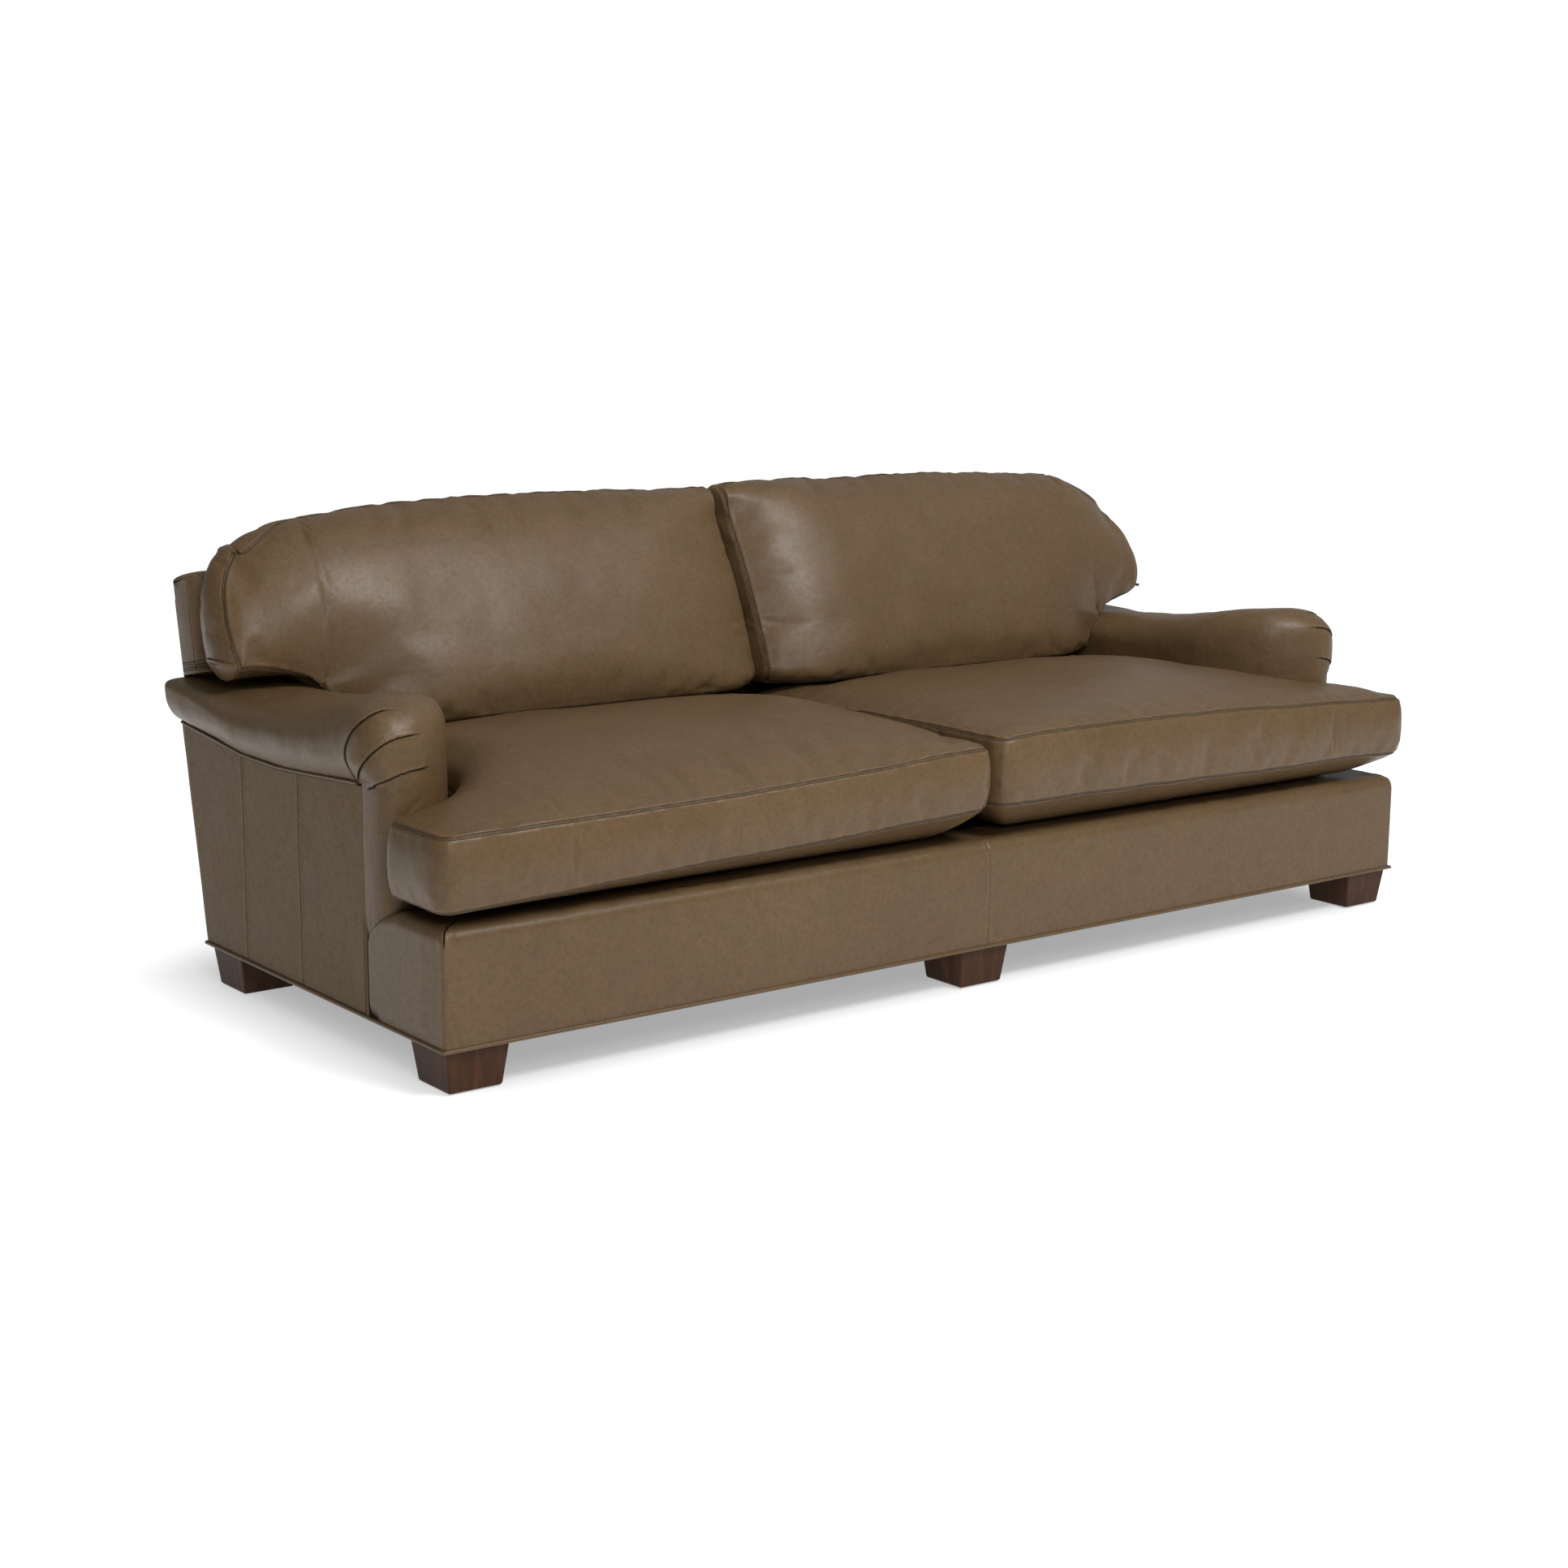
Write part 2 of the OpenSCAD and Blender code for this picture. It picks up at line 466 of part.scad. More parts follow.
module back_groove(grow) box([bzip_x0 - 6 - grow, bzip_y - 9 - grow, bz - 20], [bzip_x1 + 6 + grow, bzip_y + 9 + grow, bz + 6 + grow]);
module back_core() difference() { back_cushion_form(lt); back_groove(lt); }
module back_cover() difference() {
  back_cushion_form(0);
  difference() { back_cushion_form(lt); back_groove(lt); }
  back_groove(0);
}
module back_zipper() {
  box([bzip_x0, bzip_y - 8, bz + 5], [bzip_x1, bzip_y + 8, bz + 6]);
  box([bzip_x0, bzip_y - 2.2, bz + 3.2], [bzip_x1, bzip_y + 2.2, bz + 5]);
}
module back_pull() translate([bzip_x1 - 12, bzip_y, bz]) {
  difference() {
    box([-6, -5, 0.8], [6, 5, 4.6]);
    box([-7, -2.6, 2.8], [7, 2.6, 5]);
  }
  difference() {
    box([-24, -3.5, -0.6], [5, 3.5, 0.8]);
    translate([-20, 0, -5]) cylinder(r = 1.6, h = 10, $fn = 24);
  }
}
module back_core_right() color(foam) up_with_feet() back_core();
module back_core_left() color(foam) up_with_feet() mirror([1, 0, 0]) back_core();
module back_cover_right() color(taupe) up_with_feet() back_cover();
module back_cover_left() color(taupe) up_with_feet() mirror([1, 0, 0]) back_cover();
module back_zipper_right() color(black) up_with_feet() back_zipper();
module back_zipper_left() color(black) up_with_feet() mirror([1, 0, 0]) back_zipper();
module back_zip_pull_right() color(steel) up_with_feet() back_pull();
module back_zip_pull_left() color(steel) up_with_feet() mirror([1, 0, 0]) back_pull();

foot_front_left();
foot_front_center();
foot_front_right();
foot_back_left();
foot_back_center();
foot_back_right();
foot_glides();
hanger_bolts();
tee_nuts();
front_rail();
back_rail();
side_rails();
seat_stretchers();
corner_blocks();
arm_posts();
arm_rails();
back_posts();
back_top_rail();
back_tack_rail();
frame_dowels();
seat_springs();
spring_clips();
spring_tie_wires();
back_webbing();
deck_pad();
deck_cloth();
dust_cover();
front_edge_roll();
arm_pad_left();
arm_pad_right();
arm_boards();
back_pad();
back_board();
front_border_cover();
arm_cover_left();
arm_cover_right();
outside_arm_cover_left();
outside_arm_cover_right();
inside_back_cover();
outside_back_cover();
base_welt();
arm_welts();
seat_core_left();
seat_cover_left();
seat_zipper_left();
seat_zip_pull_left();
seat_core_right();
seat_cover_right();
seat_zipper_right();
seat_zip_pull_right();
back_core_left();
back_cover_left();
back_zipper_left();
back_zip_pull_left();
back_core_right();
back_cover_right();
back_zipper_right();
back_zip_pull_right();
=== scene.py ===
import math

import bpy
import numpy as np
from mathutils import Matrix, Vector
from mathutils.kdtree import KDTree


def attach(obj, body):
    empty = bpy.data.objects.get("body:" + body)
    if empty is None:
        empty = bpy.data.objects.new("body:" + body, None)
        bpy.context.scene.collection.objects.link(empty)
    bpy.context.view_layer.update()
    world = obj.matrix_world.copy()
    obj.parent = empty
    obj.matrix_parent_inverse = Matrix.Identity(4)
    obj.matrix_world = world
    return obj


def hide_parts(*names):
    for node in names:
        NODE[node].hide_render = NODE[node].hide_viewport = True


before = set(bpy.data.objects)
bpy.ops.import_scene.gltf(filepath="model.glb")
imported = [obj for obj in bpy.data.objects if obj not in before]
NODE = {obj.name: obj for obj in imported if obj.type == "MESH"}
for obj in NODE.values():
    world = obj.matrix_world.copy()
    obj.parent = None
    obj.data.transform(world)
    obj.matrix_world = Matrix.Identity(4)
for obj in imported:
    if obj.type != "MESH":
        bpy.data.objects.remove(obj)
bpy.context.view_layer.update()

# ---------------------------------------------------------------- numbers shared with the CAD, in metres
HW, XI, XO = 1.162, 0.950, 1.190
FRONT_Y, BACK_Y, BASE_Z = -0.488, 0.390, 0.079
RAKE = math.radians(11.13)
TR = math.tan(RAKE)
SIDES = (("left", -1), ("right", 1))


def rear_y(z):
    return BACK_Y + (z - BASE_Z) * TR


def smooth_line(points):
    """Monotone curve through (x, y) points."""
    xs = np.array([p[0] for p in points], float)
    ys = np.array([p[1] for p in points], float)
    h = np.diff(xs)
    d = np.diff(ys) / h
    m = np.empty(len(xs))
    m[0], m[-1] = d[0], d[-1]
    same = d[:-1] * d[1:] > 0
    m[1:-1] = np.where(same, 2 * d[:-1] * d[1:] / np.where(same, d[:-1] + d[1:], 1), 0)

    def f(x):
        x = np.clip(np.asarray(x, float), xs[0], xs[-1])
        i = np.clip(np.searchsorted(xs, x, side="right") - 1, 0, len(h) - 1)
        t = (x - xs[i]) / h[i]
        return (
            (2 * t**3 - 3 * t**2 + 1) * ys[i]
            + (t**3 - 2 * t**2 + t) * h[i] * m[i]
            + (3 * t**2 - 2 * t**3) * ys[i + 1]
            + (t**3 - t**2) * h[i] * m[i + 1]
        )

    return f


welt_z = smooth_line([(-0.240, 0.4762), (-0.216, 0.475), (-0.100, 0.468), (-0.010, 0.462), (0.080, 0.458), (0.210, 0.460), (0.340, 0.473), (0.478, 0.486)])
arm_top = smooth_line([(-0.185, 0.6125), (-0.160, 0.610), (-0.070, 0.595), (0.025, 0.580), (0.180, 0.569), (0.300, 0.564), (0.480, 0.558)])


# ---------------------------------------------------------------- small tools
def _hash(ix, iy, iz, seed):
    m = np.uint64(0xFFFFFFFF)
    n = (ix.astype(np.uint64) * np.uint64(73856093)) & m
    n ^= (iy.astype(np.uint64) * np.uint64(19349663)) & m
    n ^= (iz.astype(np.uint64) * np.uint64(83492791)) & m
    n ^= np.uint64((seed * 2654435761) & 0xFFFFFFFF)
    n = ((n ^ (n >> np.uint64(15))) * np.uint64(2246822519)) & m
    n = ((n ^ (n >> np.uint64(13))) * np.uint64(3266489917)) & m
    return ((n ^ (n >> np.uint64(16))) & np.uint64(0xFFFF)).astype(float) / 32767.5 - 1.0


def noise(points, size, seed=0):
    """Smooth value noise from -1 to 1 with features of this size in metres."""
    p = np.asarray(points, float).reshape(-1, 3) / size + 1000.0
    i = np.floor(p).astype(np.int64)
    f = p - i
    f = f * f * f * (f * (6 * f - 15) + 10)
    out = np.zeros(len(p))
    for dx in (0, 1):
        wx = f[:, 0] if dx else 1 - f[:, 0]
        for dy in (0, 1):
            wy = f[:, 1] if dy else 1 - f[:, 1]
            for dz in (0, 1):
                wz = f[:, 2] if dz else 1 - f[:, 2]
                out += wx * wy * wz * _hash(i[:, 0] + dx, i[:, 1] + dy, i[:, 2] + dz, seed)
    return out


def fbm(points, size, seed=0, octaves=3):
    out, amp = 0.0, 1.0
    for k in range(octaves):
        out = out + amp * noise(points, size / 2**k, seed + 17 * k)
        amp *= 0.5
    return out


class Skin:
    """Gathers vertices and faces for one piece."""

    def __init__(self):
        self.v, self.f, self.n = [], [], 0

    def add(self, verts, faces):
        verts = np.asarray(verts, float).reshape(-1, 3)
        self.v.append(verts)
        self.f += [tuple(int(i) + self.n for i in q) for q in faces]
        self.n += len(verts)

    def grid(self, P, flip=False, wrap=False):
        nu, nv = P.shape[:2]
        i = np.arange(nu if wrap else nu - 1)[:, None]
        j = np.arange(nv - 1)[None, :]
        a = i * nv + j
        b = ((i + 1) % nu) * nv + j
        q = np.stack([a, b, b + 1, a + 1], -1).reshape(-1, 4)
        if flip:
            q = q[:, ::-1]
        self.add(P, q)

    def verts(self):
        return np.concatenate(self.v)

    def object(self, name, mirror=False, weld=0.0):
        v = self.verts()
        f = self.f
        if mirror:
            v = v * np.array([-1.0, 1, 1])
            f = [q[::-1] for q in f]
        return make(name, v, f, weld)


def make(name, verts, faces, weld=0.0):
    me = bpy.data.meshes.new(name)
    me.from_pydata([tuple(p) for p in verts], [], [tuple(q) for q in faces])
    if weld:
        import bmesh

        bm = bmesh.new()
        bm.from_mesh(me)
        bmesh.ops.remove_doubles(bm, verts=bm.verts, dist=weld)
        bmesh.ops.dissolve_degenerate(bm, edges=bm.edges, dist=weld)
        bm.to_mesh(me)
        bm.free()
    me.validate()
    me.polygons.foreach_set("use_smooth", [True] * len(me.polygons))
    me.update()
    ob = bpy.data.objects.new(name, me)
    bpy.context.scene.collection.objects.link(ob)
    return ob


def coords(ob):
    v = np.empty(len(ob.data.vertices) * 3)
    ob.data.vertices.foreach_get("co", v)
    return v.reshape(-1, 3)


def set_coords(ob, v):
    ob.data.vertices.foreach_set("co", np.ascontiguousarray(v, dtype=float).ravel())
    ob.data.update()


def normals(ob):
    ob.data.update()
    v = np.empty(len(ob.data.vertices) * 3)
    ob.data.vertices.foreach_get("normal", v)
    return v.reshape(-1, 3)


def apply_modifiers(ob):
    dg = bpy.context.evaluated_depsgraph_get()
    dg.update()
    me = bpy.data.meshes.new_from_object(ob.evaluated_get(dg))
    old = ob.data
    ob.modifiers.clear()
    ob.data = me
    me.name = ob.name
    if old.users == 0:
        bpy.data.meshes.remove(old)
    me.polygons.foreach_set("use_smooth", [True] * len(me.polygons))
    return ob


def subdivide(ob, levels=1):
    m = ob.modifiers.new("Subdivision", "SUBSURF")
    m.levels = m.render_levels = levels
    m.use_limit_surface = False
    m.boundary_smooth = "PRESERVE_CORNERS"
    return apply_modifiers(ob)


def thicken(ob, t):
    m = ob.modifiers.new("Thickness", "SOLIDIFY")
    m.thickness = t
    m.offset = -1
    m.use_even_offset = False
    return apply_modifiers(ob)


def set_attribute(ob, name, values):
    a = ob.data.attributes.get(name) or ob.data.attributes.new(name, "FLOAT", "POINT")
    a.data.foreach_set("value", np.ascontiguousarray(values, dtype=np.float32))


def resample(points, step):
    """Points along an open polyline, evenly spaced."""
    p = np.asarray(points, float)
    s = np.concatenate([[0], np.cumsum(np.linalg.norm(np.diff(p, axis=0), axis=1))])
    n = max(2, int(round(s[-1] / step)) + 1)
    t = np.linspace(0, s[-1], n)
    return np.stack([np.interp(t, s, p[:, k]) for k in range(3)], 1)


def bend(points, step=0.002, rounds=2):
    """A smoothed copy of a polyline, evenly spaced."""
    p = np.asarray(points, float)
    for _ in range(rounds):
        q = np.empty((2 * len(p), 3))
        q[0::2][1:] = 0.75 * p[1:] + 0.25 * p[:-1]
        q[1::2][:-1] = 0.75 * p[:-1] + 0.25 * p[1:]
        q[0], q[-1] = p[0], p[-1]
        p = q
    return resample(p, step)


def tree_of(points):
    t = KDTree(len(points))
    for i, p in enumerate(points):
        t.insert(p, i)
    t.balance()
    return t


def distance_to(points, target, reach=None):
    """Distance and nearest index for each point to a dense polyline."""
    t = tree_of(target)
    d = np.empty(len(points))
    k = np.empty(len(points), int)
    for i, p in enumerate(points):
        _, k[i], d[i] = t.find(p)
    return d, k


def tube(points, radius, sides=8, closed=False):
    """A round cord along points."""
    p = np.asarray(points, float)
    d = np.gradient(p, axis=0)
    if closed:
        d = np.roll(p, -1, 0) - np.roll(p, 1, 0)
    d /= np.maximum(np.linalg.norm(d, axis=1), 1e-9)[:, None]
    up = np.where(np.abs(d[:, 2:3]) > 0.9, np.array([[1.0, 0, 0]]), np.array([[0, 0, 1.0]]))
    u = np.cross(d, up)
    u /= np.linalg.norm(u, axis=1)[:, None]
    w = np.cross(d, u)
    a = np.linspace(0, 2 * np.pi, sides, endpoint=False)
    return p[:, None, :] + radius * (np.cos(a)[None, :, None] * u[:, None, :] + np.sin(a)[None, :, None] * w[:, None, :])


def add_tube(skin, points, radius, sides=8):
    P = tube(points, radius, sides)
    n, m = P.shape[:2]
    faces = [(i * m + j, i * m + (j + 1) % m, (i + 1) * m + (j + 1) % m, (i + 1) * m + j) for i in range(n - 1) for j in range(m)]
    faces.append(tuple(range(m))[::-1])
    faces.append(tuple((n - 1) * m + j for j in range(m)))
    skin.add(P, faces)


def surface_lookup(ob):
    """Finds the nearest surface point and its normal."""
    from mathutils.bvhtree import BVHTree

    me = ob.data
    bvh = BVHTree.FromPolygons([v.co.copy() for v in me.vertices], [tuple(p.vertices) for p in me.polygons])

    def find(points):
        out, nor = np.empty((len(points), 3)), np.empty((len(points), 3))
        for i, p in enumerate(points):
            loc, n, _, _ = bvh.find_nearest(Vector(p))
            out[i], nor[i] = loc, n
        return out, nor

    return find


def stitch_row(skin, curve, find, offset, toward, pitch=0.0052, length=0.0036, width=0.00042, lift=0.00018):
    """Thread stitches that lie on a surface beside a seam. offset moves the row sideways, toward is +1 or -1."""
    c = resample(curve, pitch)
    pos, nor = find(c)
    d = np.gradient(pos, axis=0)
    d /= np.maximum(np.linalg.norm(d, axis=1), 1e-9)[:, None]
    side = np.cross(nor, d)
    side /= np.maximum(np.linalg.norm(side, axis=1), 1e-9)[:, None]
    pos, nor = find(pos + toward * offset * side)
    d = np.gradient(pos, axis=0)
    d /= np.maximum(np.linalg.norm(d, axis=1), 1e-9)[:, None]
    side = np.cross(nor, d)
    for p, n, t, s in zip(pos, nor, d, side):
        h, w = length / 2, width
        base = p - n * 0.0002
        top = p + n * (lift + width)
        v = [
            base - t * h, base + t * h,
            p + s * w - t * h * 0.6, p + s * w + t * h * 0.6,
            p - s * w - t * h * 0.6, p - s * w + t * h * 0.6,
            top - t * h * 0.55, top + t * h * 0.55,
        ]
        skin.add(v, [(0, 2, 6), (0, 6, 4), (1, 7, 3), (1, 5, 7), (2, 3, 7, 6), (4, 6, 7, 5), (0, 1, 3, 2), (0, 4, 5, 1)])


def mark_seam(ob, d, strength=1.0):
    """Stores how near each point is to a sewn line: 1 on it, 0 from 10 mm away. The leather look paints shade into the
    groove from it.
    """
    near = np.clip(1 - d / 0.010, 0, 1) * strength
    old = ob.data.attributes.get("seam")
    if old:
        was = np.empty(len(ob.data.vertices), dtype=np.float32)
        old.data.foreach_get("value", was)
        near = np.maximum(near, was)
    set_attribute(ob, "seam", near)


def mark_fold(ob, k, curve, strength, up=1):
    """Stores the signed distance to a folded edge, and how strong the fold is along it. The leather look paints a
    shaded crease and a highlighted lap from these.
    """
    v, n = coords(ob), normals(ob)
    c = bend(curve, 0.0012)
    d, i = distance_to(v, c)
    t = np.gradient(c, axis=0)
    t /= np.linalg.norm(t, axis=1)[:, None]
    side = np.einsum("ij,ij->i", np.cross(n, t[i]), v - c[i]) * up
    f = np.linspace(0, 1, len(c))[i]
    past = np.abs(np.einsum("ij,ij->i", t[i], v - c[i]))
    a = np.interp(f, strength[0], strength[1]) * np.clip(1.4 - past / 0.004, 0, 1) * np.clip((0.013 - d) / 0.004, 0, 1)
    set_attribute(ob, "fold%d" % k, 0.5 + 0.5 * np.clip(side / 0.010, -1, 1))
    set_attribute(ob, "fold%d_a" % k, a)


def seam_valley(ob, curves, depth=0.0016, width=0.0032, lip=0.0005, pucker=0.0, reach=0.03, seed=1, mark=1.0):
    """Presses a sewn line into a surface, with the leather standing a little proud beside it."""
    v = coords(ob)
    n = normals(ob)
    line = np.concatenate([resample(c, 0.0015) for c in curves])
    d, k = distance_to(v, line)
    push = -depth * np.exp(-((d / width) ** 2)) + lip * np.exp(-(((d - 0.006) / 0.003) ** 2))
    if pucker:
        s = line[k]
        wave = noise(s, 0.016, seed) * 0.6 + noise(s, 0.032, seed + 5) * 0.6
        push = push + pucker * wave * np.exp(-((d - 0.004) / reach).clip(0) ** 1.2) * (1 - np.exp(-((d / 0.004) ** 2)))
    set_coords(ob, v + n * push[:, None])
    mark_seam(ob, d, mark)
    return d


# ---------------------------------------------------------------- materials
class Tree:
    """Short hand for a node tree."""

    def __init__(self, name):
        self.mat = bpy.data.materials.get(name + "_look") or bpy.data.materials.new(name + "_look")
        self.mat.use_nodes = True
        self.nt = self.mat.node_tree
        self.nt.nodes.clear()
        self.out = self.nt.nodes.new("ShaderNodeOutputMaterial")
        self.bsdf = self.nt.nodes.new("ShaderNodeBsdfPrincipled")
        self.nt.links.new(self.bsdf.outputs[0], self.out.inputs[0])
        self.coord = self.nt.nodes.new("ShaderNodeTexCoord").outputs["Object"]

    def link(self, a, b):
        self.nt.links.new(a, b)

    def node(self, kind, **values):
        n = self.nt.nodes.new(kind)
        for k, v in values.items():
            setattr(n, k, v)
        return n

    def mapping(self, scale=(1, 1, 1), rotation=(0, 0, 0), source=None):
        n = self.node("ShaderNodeMapping")
        n.inputs["Scale"].default_value = scale
        n.inputs["Rotation"].default_value = rotation
        self.link(source or self.coord, n.inputs["Vector"])
        return n.outputs[0]

    def noise(self, scale, detail=3, rough=0.5, distortion=0.0, source=None, lacunarity=2.0):
        n = self.node("ShaderNodeTexNoise")
        n.inputs["Scale"].default_value = scale
        n.inputs["Detail"].default_value = detail
        n.inputs["Roughness"].default_value = rough
        n.inputs["Distortion"].default_value = distortion
        n.inputs["Lacunarity"].default_value = lacunarity
        self.link(source or self.coord, n.inputs["Vector"])
        return n.outputs["Fac"]

    def voronoi(self, scale, feature="F1", source=None, randomness=1.0, smooth=None):
        n = self.node("ShaderNodeTexVoronoi", feature=feature)
        n.inputs["Scale"].default_value = scale
        n.inputs["Randomness"].default_value = randomness
        if smooth is not None and "Smoothness" in n.inputs:
            n.inputs["Smoothness"].default_value = smooth
        self.link(source or self.coord, n.inputs["Vector"])
        return n.outputs["Distance"]

    def ramp(self, source, stops):
        n = self.node("ShaderNodeValToRGB")
        n.color_ramp.interpolation = "EASE"
        while len(n.color_ramp.elements) < len(stops):
            n.color_ramp.elements.new(0.5)
        for e, (p, c) in zip(n.color_ramp.elements, stops):
            e.position = p
            e.color = (*c, 1) if len(c) == 3 else c
        self.link(source, n.inputs["Fac"])
        return n.outputs["Color"]

    def value(self, source, low, high, a=0.0, b=1.0):
        n = self.node("ShaderNodeMapRange")
        n.inputs["From Min"].default_value = a
        n.inputs["From Max"].default_value = b
        n.inputs["To Min"].default_value = low
        n.inputs["To Max"].default_value = high
        self.link(source, n.inputs["Value"])
        return n.outputs[0]

    def math(self, op, a, b=None):
        n = self.node("ShaderNodeMath", operation=op)
        for k, x in enumerate((a, b)):
            if x is None:
                continue
            if isinstance(x, (int, float)):
                n.inputs[k].default_value = x
            else:
                self.link(x, n.inputs[k])
        return n.outputs[0]

    def mix(self, fac, a, b, mode="MIX"):
        n = self.node("ShaderNodeMix", data_type="RGBA", blend_type=mode)
        for key, x in ((0, fac), (6, a), (7, b)):
            if isinstance(x, (int, float)):
                n.inputs[key].default_value = x
            elif isinstance(x, tuple):
                n.inputs[key].default_value = (*x, 1)
            else:
                self.link(x, n.inputs[key])
        return n.outputs[2]

    def attribute(self, name):
        n = self.node("ShaderNodeAttribute", attribute_name=name)
        return n.outputs["Fac"]

    def bump(self, height, strength, distance, normal=None):
        n = self.node("ShaderNodeBump")
        n.inputs["Strength"].default_value = strength
        n.inputs["Distance"].default_value = distance
        self.link(height, n.inputs["Height"])
        if normal is not None:
            self.link(normal, n.inputs["Normal"])
        return n.outputs[0]

    def set(self, **values):
        for k, v in values.items():
            key = k.replace("_", " ")
            for name in (key, key.title(), {"ior": "IOR", "specular": "Specular IOR Level", "coat weight": "Coat Weight", "coat roughness": "Coat Roughness", "sheen weight": "Sheen Weight", "sheen roughness": "Sheen Roughness", "sheen tint": "Sheen Tint"}.get(key, key)):
                if name in self.bsdf.inputs:
                    sock = self.bsdf.inputs[name]
                    if isinstance(v, (int, float)):
                        sock.default_value = v
                    elif isinstance(v, tuple):
                        sock.default_value = (*v, 1) if len(v) == 3 and len(sock.default_value) == 4 else v
                    else:
                        self.link(v, sock)
                    break


def leather(name, tone=1.0, grain=1.0, seed=0.0, gloss=0.21):
    """Pigmented full-grain cow leather: taupe over a redder base coat, cloudy, finely pebbled, a little burnished.
    Shade is painted into concave places, creases, seam grooves and gaps, and highlights onto the laps of folds.
    """
    t = Tree(name)
    n = t.node("ShaderNodeVectorMath", operation="ADD")
    n.inputs[1].default_value = (seed, seed * 0.7, -seed * 1.3)
    t.link(t.coord, n.inputs[0])
    P = n.outputs[0]
    cloud = t.noise(3.4, 4, 0.55, 0.4, P)
    patch = t.noise(15.0, 5, 0.62, 0.9, P)
    fleck = t.noise(120.0, 4, 0.65, 0.2, P)
    speck = t.noise(430.0, 2, 0.6, 0.0, P)
    c = lambda r, g, b: (r * tone, g * tone, b * tone)
    base = t.ramp(cloud, [(0.32, c(0.0800, 0.0478, 0.0215)), (0.50, c(0.0910, 0.0560, 0.0260)), (0.68, c(0.1020, 0.0645, 0.0308))])
    warm = t.ramp(patch, [(0.34, c(0.1010, 0.0570, 0.0262)), (0.52, c(0.0915, 0.0560, 0.0262)), (0.70, c(0.0810, 0.0535, 0.0255))])
    col = t.mix(0.55, base, warm)
    blot = t.noise(48.0, 4, 0.6, 0.6, P)
    col = t.mix(t.value(blot, 0.0, 0.15, 0.42, 0.66), col, c(0.0600, 0.0335, 0.0150))
    col = t.mix(t.value(blot, 0.11, 0.0, 0.30, 0.44), col, c(0.1270, 0.0850, 0.0430))
    col = t.mix(t.value(fleck, 0.0, 0.45, 0.44, 0.68), col, c(0.0560, 0.0305, 0.0120))
    col = t.mix(t.value(speck, 0.0, 0.16, 0.5, 0.8), col, c(0.1400, 0.0950, 0.0430))
    geo = t.node("ShaderNodeNewGeometry")
    edge = t.value(geo.outputs["Pointiness"], 0.0, 1.0, 0.505, 0.56)
    # painted shade: concave places, found from pointiness, are darkened towards near black
    painted_hollow_shade = t.value(geo.outputs["Pointiness"], 1.0, 0.0, 0.43, 0.495)
    col = t.mix(t.math("MULTIPLY", edge, 0.20), col, c(0.1500, 0.0990, 0.0450))
    col = t.mix(t.math("MULTIPLY", painted_hollow_shade, 0.40), col, c(0.0300, 0.0170, 0.0070))
    # seam marks: the groove on the seam line itself is painted shade, darkened almost to black; the stitch rows about
    # 3 mm either side are darkened as well, and the leather is a little darker within about 8 mm of a seam
    near = t.attribute("seam")
    line = t.math("MULTIPLY", t.math("POWER", t.value(near, 0.0, 1.0, 0.88, 1.0), 1.5), 0.55)
    row = t.value(t.math("ABSOLUTE", t.math("SUBTRACT", near, 0.72)), 1.0, 0.0, 0.03, 0.10)
    line = t.math("MAXIMUM", line, t.math("MULTIPLY", row, 0.85))
    col = t.mix(t.math("MULTIPLY", t.value(near, 0.0, 1.0, 0.2, 1.0), 0.12), col, c(0.0480, 0.0280, 0.0125))
    col = t.mix(t.math("MULTIPLY", line, 0.72), col, (0.016, 0.011, 0.008))
    # shade: where shade is painted, in the dark gaps and on the seam line; the reflection is taken off there below
    shade = t.math("MAXIMUM", t.attribute("dark"), t.math("MULTIPLY", line, 0.7))
    rise = t.math("MULTIPLY", line, -1.0)
    # painted shade and highlight on folds: the crease line goes almost black and loses its reflection, and the lapping
    # edge beside it gets a painted highlight
    for k in (1, 2, 3):
        f, a = t.attribute("fold%d" % k), t.attribute("fold%d_a" % k)
        crease = t.math("MULTIPLY", t.value(t.math("ABSOLUTE", t.math("SUBTRACT", f, 0.5)), 1.0, 0.0, 0.035, 0.115), a)
        over = t.math("MULTIPLY", t.math("MULTIPLY", t.value(f, 0.0, 1.0, 0.50, 0.56), t.value(f, 1.0, 0.0, 0.56, 0.95)), a)
        col = t.mix(t.math("MULTIPLY", over, 0.16), col, c(0.1920, 0.1330, 0.0650))
        col = t.mix(t.math("MULTIPLY", crease, 0.93), col, (0.009, 0.006, 0.004))
        rise = t.math("ADD", rise, t.math("SUBTRACT", over, crease))
        shade = t.math("MAXIMUM", shade, crease)
    # painted shade: the gaps and tucked edges marked with the dark attribute go almost black
    col = t.mix(t.math("MULTIPLY", t.attribute("dark"), 0.92), col, (0.007, 0.005, 0.0035))
    t.set(base_color=col)
    rough = t.math("ADD", t.value(cloud, 0.335, 0.415, 0.3, 0.7), t.value(fleck, -0.03, 0.05, 0.3, 0.7))
    rough = t.math("ADD", rough, t.math("MULTIPLY", line, 0.3))
    t.set(roughness=rough)
    pebble = t.voronoi(620.0, "SMOOTH_F1", P, 1.0, 0.35)
    vein = t.noise(240.0, 4, 0.6, 1.2, P)
    broad = t.noise(30.0, 3, 0.5, 0.5, P)
    b = t.bump(broad, 0.13 * grain, 0.005)
    b = t.bump(vein, 0.20 * grain, 0.0006, b)
    b = t.bump(pebble, 0.28 * grain, 0.0005, b)
    b = t.bump(rise, 0.9, 0.0016, b)
    t.set(normal=b)
    # no reflection where shade is painted
    t.set(specular=t.value(shade, gloss, 0.0), coat_weight=0.03 if gloss > 0.15 else 0.0, coat_roughness=0.28)
    return t.mat


